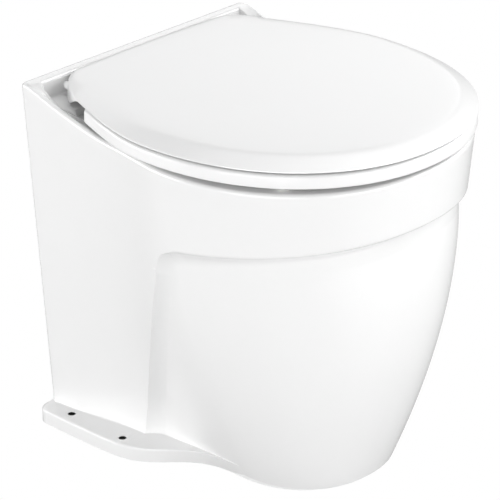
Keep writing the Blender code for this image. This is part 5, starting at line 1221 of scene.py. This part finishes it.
# %% Lid sections
LID_TOP_Z, LID_WALL, LID_MIDDLE_Y = 386.5 * MM, 4.5 * MM, -15 * MM
DOME_FALL, DOME_HALF, DOME_LEN = 4.4 * MM, 180 * MM, 195 * MM
BEVEL = ((0, 9.7), (0.2, 8.9), (0.9, 8.3), (2.6, 7.5), (6, 5.75), (10, 3.75), (13.6, 2.05), (16.4, 1),
         (19.4, 0.35), (23, 0))
ROLL = ((0, 10.8), (0.2, 9.6), (0.6, 8.6), (1.5, 6.8), (3, 4.8), (5, 2.9), (7.4, 1.4), (9.4, 0.7),
        (11.6, 0.25), (15, 0))
UNDER_BEVEL = ((4.5, 0), (4.9, 4.9), (5.5, 4.5), (10, 2.2), (15, 0.7), (21, 0.2))
UNDER_ROLL = ((4.5, 0), (4.9, 5.1), (5.4, 4.8), (8, 1.8), (11.5, 0.3), (15.5, 0))
REAR_LOW, EAR_X, EAR_BLEND = (368 * MM, 357.5 * MM), 105 * MM, 3 * MM
EAR_LIFT, EAR_Y, EAR_LONG, EAR_CURVE, ROLL_END = 15 * MM, 156 * MM, 27 * MM, 0.9, 0.16


def lid_low(kind, share):
    """Height of the lid's lower edge."""
    x, y = lid_point(kind, share, 0)
    if kind in ("rear", "corner"):
        return between(REAR_LOW, smooth((x - EAR_X) / EAR_BLEND))
    return REAR_LOW[1] + EAR_LIFT * min(1.0, (EAR_Y - y) / EAR_LONG) ** EAR_CURVE


def dome_z(x, y):
    """Height of the lid's top without its border."""
    return LID_TOP_Z - DOME_FALL * ((x / DOME_HALF) ** 2 + ((y - LID_MIDDLE_Y) / DOME_LEN) ** 2)


def rear_share(kind, share):
    """1 where the section is the roll, 0 where it is the bevel."""
    if kind in ("rear", "corner"):
        return 1.0
    return 1 - smooth(share / ROLL_END) if kind == "side" else 0.0


print("the ears reach", round((LID_TOP_Z - REAR_LOW[1]) / MM), "mm below the lid's top")

# %% [markdown]
# ## Lid: its skins
# The same loft makes the top and, a wall's thickness below, the underside. Rings run from the lower lip
# over the border and shrink towards the middle, where a fan of triangles closes the skin.

# %% Lid skins
MIDDLE_STEPS = 14


def lid_face(bevel, roll, thick):
    rings = []
    for step, (flat, rolled) in enumerate(zip(bevel, roll)):
        ring = []
        for kind, s in lid_columns:
            share = rear_share(kind, s)
            inset, drop = (between(pair, share) * MM for pair in zip(flat, rolled))
            x, y = lid_point(kind, s, inset)
            z = max(dome_z(x, y) - drop - thick, lid_low(kind, s)) if step else lid_low(kind, s)
            ring.append((x, y, z))
        rings.append(ring)
    edge = bevel[-1][0] * MM
    for i in range(1, MIDDLE_STEPS):
        scale = 1 - i / MIDDLE_STEPS
        ring = []
        for kind, s in lid_columns:
            x, y = lid_point(kind, s, edge)
            x, y = x * scale, LID_MIDDLE_Y + (y - LID_MIDDLE_Y) * scale
            ring.append((x, y, dome_z(x, y) - thick))
        rings.append(ring)
    return rings


top = lid_face(BEVEL, ROLL, 0.0)
under = lid_face(UNDER_BEVEL, UNDER_ROLL, LID_WALL)
bm = bmesh.new()
rows = skin(bm, [mirrored(ring) for ring in under[::-1] + top])
for row, z in ((rows[0], LID_TOP_Z - LID_WALL), (rows[-1], LID_TOP_Z)):
    hub = bm.verts.new((0, LID_MIDDLE_Y, z))
    for i in range(len(row)):
        bm.faces.new((row[i], row[(i + 1) % len(row)], hub))
lid = hand_over(piece_from(bm), "lid_shell", seat_plastic, "lid", ("seat_lid",))

# %% [markdown]
# ## Lid: room for the hinges
# Behind the axis the lid is hollowed from below, so that it can swing past the hinge posts. Each ear has a
# bore for the pin.

# %% Cut the lid
POCKET_X, POCKET_Z = (64 * MM, 107 * MM), (352 * MM, 376.9 * MM)
POCKET_GAP, POCKET_REAR = 0.3 * MM, 188 * MM
BORE_R, LID_BORE_X, LID_BORE_LONG = 4.3 * MM, 100 * MM, 27.5 * MM
lid_tools = []
for sign in (-1, 1):
    near, far = sorted(sign * x for x in POCKET_X)
    lid_tools.append(box((near, HINGE_Y + POCKET_GAP, POCKET_Z[0]), (far, POCKET_REAR, POCKET_Z[1])))
    lid_tools.append(cylinder((sign * LID_BORE_X, HINGE_Y, HINGE_Z), (sign, 0, 0), BORE_R, LID_BORE_LONG))
cut(lid, lid_tools)

# %% [markdown]
# ## Hinge pins
# Seat and lid turn on a steel pin at each side. Its inner end has a small chamfer, and a moulded cap
# closes its outer end, where it shows beside the ear. A cylinder with one bevelled edge is the pin, and
# the cap is a disc whose face is stepped out to a point.

# %% Hinge pins
PIN_R, PIN_START, PIN_LONG, PIN_CHAMFER, PIN_SHARP = 4 * MM, 67.8 * MM, 51.2 * MM, 0.6 * MM, 60
CAP_R, CAP_FLAT = 4.2 * MM, 1.4 * MM
CAP = ((0.8 * MM, 3.7 * MM), (0.5 * MM, 2.4 * MM), (0.2 * MM, 0))

for side, sign in (("left", -1), ("right", 1)):
    axis = (sign, 0, 0)
    pin = cylinder((sign * PIN_START, HINGE_Y, HINGE_Z), axis, PIN_R, PIN_LONG, sides=32)
    pick(pin, "edges", lambda ends: all(abs(end.x * sign - PIN_START) < NEAR for end in ends))
    bpy.ops.mesh.bevel(offset_type="OFFSET", offset=PIN_CHAMFER, segments=1, affect="EDGES")
    hand_over(done(pin), "pin_" + side, steel, "pan", ("hinge_pin_" + side,), PIN_SHARP)
    start = PIN_START + PIN_LONG
    cap = cylinder((sign * start, HINGE_Y, HINGE_Z), axis, CAP_R, CAP_FLAT, sides=32)
    step_out(cap, axis, start + CAP_FLAT, CAP_R, CAP, pointed=True)
    hand_over(cap, "pin_cap_" + side, seat_plastic, "pan", (), PIN_SHARP)

# %% [markdown]
# ## Seat: its ring
# The seat's outer edge follows the lid's. Its section is rounded all round and slopes into the hole. The
# tables are that section: inset and rise in mm, from the lower edge up on the outside, and down again on
# the inside.

# %% Seat ring
SEAT_LOW, SEAT_REAR_Y, SEAT_GAP, SEAT_POWER, SEAT_SIDES = 356 * MM, 139.5 * MM, 0.6 * MM, 3.6, 220
HOLE_HALF, HOLE_REAR, HOLE_FRONT, HOLE_Y = 105 * MM, 100 * MM, 118 * MM, -38 * MM
SEAT_OUTER = ((1.6, 0), (0.7, 0.25), (0.2, 0.8), (0, 1.8), (0, 6), (0, 10.4), (0.15, 11.5), (0.6, 12.5),
              (1.4, 13.3), (2.6, 13.85), (4, 14))
SEAT_INNER = ((13, 14), (9, 13.7), (5, 12.6), (2.2, 10.8), (0.6, 8.6), (0, 6.4), (0, 2.2), (0.3, 1),
              (0.8, 0.3), (1.8, 0))


def seat_outer(angle, inset):
    dx, dy = sin(angle), cos(angle)
    half = LID_HALF - SEAT_GAP - inset
    reach = (SEAT_REAR_Y - LID_Y if dy > 0 else LID_FRONT - SEAT_GAP) - inset
    power = SEAT_POWER if dy > 0 else RIM_POWER
    radius = (abs(dx / half) ** power + abs(dy / reach) ** power) ** (-1 / power)
    y = LID_Y + dy * radius
    widest = lid_half(y) - SEAT_GAP - inset
    return max(-widest, min(widest, dx * radius)), y


def seat_hole(angle, inset):
    dx, dy = sin(angle), cos(angle)
    reach = (HOLE_REAR if dy > 0 else HOLE_FRONT) + inset
    radius = 1 / sqrt((dx / (HOLE_HALF + inset)) ** 2 + (dy / reach) ** 2)
    return dx * radius, HOLE_Y + dy * radius


rings = []
for place, section in ((seat_outer, SEAT_OUTER), (seat_hole, SEAT_INNER)):
    for inset, rise in section:
        rings.append([Vector((*place(2 * pi * i / SEAT_SIDES, inset * MM), SEAT_LOW + rise * MM))
                      for i in range(SEAT_SIDES)])
bm = bmesh.new()
skin(bm, rings, closed=True)
seat = hand_over(piece_from(bm), "seat_shell", seat_plastic, "seat", ("seat_ring",))

# %% [markdown]
# ## Seat: its lugs
# A lug at each side reaches back from the ring and closes round the pin. Its side view is a flat bar that
# ends in an eye. That outline is drawn as one face, from the eye's circle and the two ends of the bar, and
# extruded to the lug's width. Then the lugs are united with the ring and the pin's bore is cut.

# %% Seat lugs
LUG_X, LUG_R, LUG_FRONT_Y, LUG_ENDS = (88.5 * MM, 100 * MM), 6.2 * MM, 127.5 * MM, (363 * MM, 369.7 * MM)
EYE_START, EYE_STEPS = 0.62 * pi, 24
SEAT_BORE_X, SEAT_BORE_LONG = 83.5 * MM, 21.5 * MM


def lug(sign):
    spots = [(LUG_FRONT_Y, z) for z in LUG_ENDS]
    for i in range(EYE_STEPS + 1):
        angle = EYE_START - 2 * EYE_START * i / EYE_STEPS
        spots.append((HINGE_Y + LUG_R * cos(angle), HINGE_Z + LUG_R * sin(angle)))
    start, end = (sign * x for x in LUG_X)
    mesh = bpy.data.meshes.new("lug")
    mesh.from_pydata([(start, y, z) for y, z in spots], [], [range(len(spots))])
    piece = bpy.data.objects.new("lug", mesh)
    scene.collection.objects.link(piece)
    pick(piece, "faces", lambda corners: True)
    bpy.ops.mesh.extrude_region_move(TRANSFORM_OT_translate={"value": (end - start, 0, 0)})
    bpy.ops.mesh.select_all(action="SELECT")
    bpy.ops.mesh.normals_make_consistent(inside=False)
    return done(piece)


cut(seat, [lug(-1), lug(1)], "UNION")
cut(seat, [cylinder((sign * SEAT_BORE_X, HINGE_Y, HINGE_Z), (sign, 0, 0), BORE_R, SEAT_BORE_LONG)
           for sign in (-1, 1)])

# %% [markdown]
# ## Working parts
# The pump, the motor, the valves and the hinge posts stay the CAD model's meshes. Each gets the finish of
# its slot, and a small live bevel, because no real edge is perfectly sharp and only a bevel catches light.
# The pieces that were built again are hidden by the frame, and a bevel would close the spring's turns.

# %% Finishes and soft edges
FINISHES = {
    "stainless_steel": steel, "white_nylon": nylon, "black_moulded_plastic": moulded,
    "black_rubber": rubber, "painted_motor_steel": painted, "ferrite": ferrite,
    "varnished_copper": copper, "carbon": carbon, "china": china, "seat_plastic": seat_plastic,
}
PLAIN = ("china_body", "china_bowl", "seat_ring", "seat_lid", "plunger_spring")
SOFT_EDGE, SOFT_STEPS, SOFT_ANGLE = 0.4 * MM, 2, 50
slots = {row["node"]: row["material_slot"] for row in frame["record"]["subparts"]}
for name, node in nodes.items():
    node.data.materials.clear()
    node.data.materials.append(FINISHES[slots[name]])
    if name not in PLAIN:
        bevel = node.modifiers.new("soft_edges", "BEVEL")
        bevel.width = SOFT_EDGE
        bevel.segments = SOFT_STEPS
        bevel.limit_method = "ANGLE"
        bevel.angle_limit = radians(SOFT_ANGLE)
        bevel.use_clamp_overlap = True
print("finished CAD pieces:", len(nodes))

# %% [markdown]
# ## Outlet boot
# A rubber boot leads from the bowl's outlet down and back to the pump. A rubber moulding bends smoothly,
# which the CAD model's few sections don't. A ring is extruded down, spun through a quarter turn and
# extruded back, all in edge mode, because an open ring has no face. The spin's angle is negative, because
# a positive one would turn the ring upwards here.

# %% Outlet boot
BOOT_R, BOOT_WALL, BOOT_Y, BOOT_TOP, BOOT_BEND_Z = 33.6 * MM, 4 * MM, 5 * MM, 130 * MM, 106 * MM
BEND_R, BOOT_END_Y, BOOT_SIDES, BEND_STEPS, LIP_CHAMFER = 44 * MM, 69.7 * MM, 48, 20, 0.6 * MM

bpy.ops.object.select_all(action="DESELECT")
bpy.ops.mesh.primitive_circle_add(vertices=BOOT_SIDES, radius=BOOT_R, location=(0, BOOT_Y, BOOT_TOP))
boot = bpy.context.object
bpy.ops.object.transform_apply(location=True, rotation=True, scale=True)
bpy.context.tool_settings.mesh_select_mode = (False, True, False)
bpy.ops.object.mode_set(mode="EDIT")
bpy.ops.mesh.select_all(action="SELECT")
bpy.ops.mesh.extrude_region_move(TRANSFORM_OT_translate={"value": (0, 0, BOOT_BEND_Z - BOOT_TOP)})
bend_y = BOOT_Y + BEND_R
bpy.ops.mesh.spin(steps=BEND_STEPS, angle=-pi / 2, center=(0, bend_y, BOOT_BEND_Z), axis=(1, 0, 0))
bpy.ops.mesh.extrude_region_move(TRANSFORM_OT_translate={"value": (0, BOOT_END_Y - bend_y, 0)})
bpy.ops.mesh.select_all(action="SELECT")
bpy.ops.mesh.remove_doubles(threshold=NEAR)
bpy.ops.mesh.normals_make_consistent(inside=False)
bpy.ops.object.mode_set(mode="OBJECT")
print("boot, mm:", [round(v / MM, 1) for v in boot.dimensions])

# %% [markdown]
# ## Outlet boot: its wall
# Solidify gives the skin its wall on the inner side only, so the outside stays at its size. The ends are
# chamfered, as a moulded lip is. Bevelling by hand would do, but the modifier finds the sharp edges itself.

# %% Wall and lips of the boot
BOOT_SHARP = 50
wall = boot.modifiers.new("wall", "SOLIDIFY")
wall.thickness = BOOT_WALL
wall.offset = -1
lips = boot.modifiers.new("lips", "BEVEL")
lips.width = LIP_CHAMFER
lips.segments = 1
lips.limit_method = "ANGLE"
lips.angle_limit = radians(BOOT_SHARP)
alone(boot)
for modifier in (wall.name, lips.name):
    bpy.ops.object.modifier_apply(modifier=modifier)
hand_over(boot, "outlet_boot", rubber, "pan", ("bowl_outlet_boot",), BOOT_SHARP)

# %% [markdown]
# ## Sizes
# The box round everything that is shown, floor left out, is printed in mm.

# %% Sizes
low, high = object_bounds()
print("visual box, mm:", [round(v / MM, 1) for v in (*low, *high)])
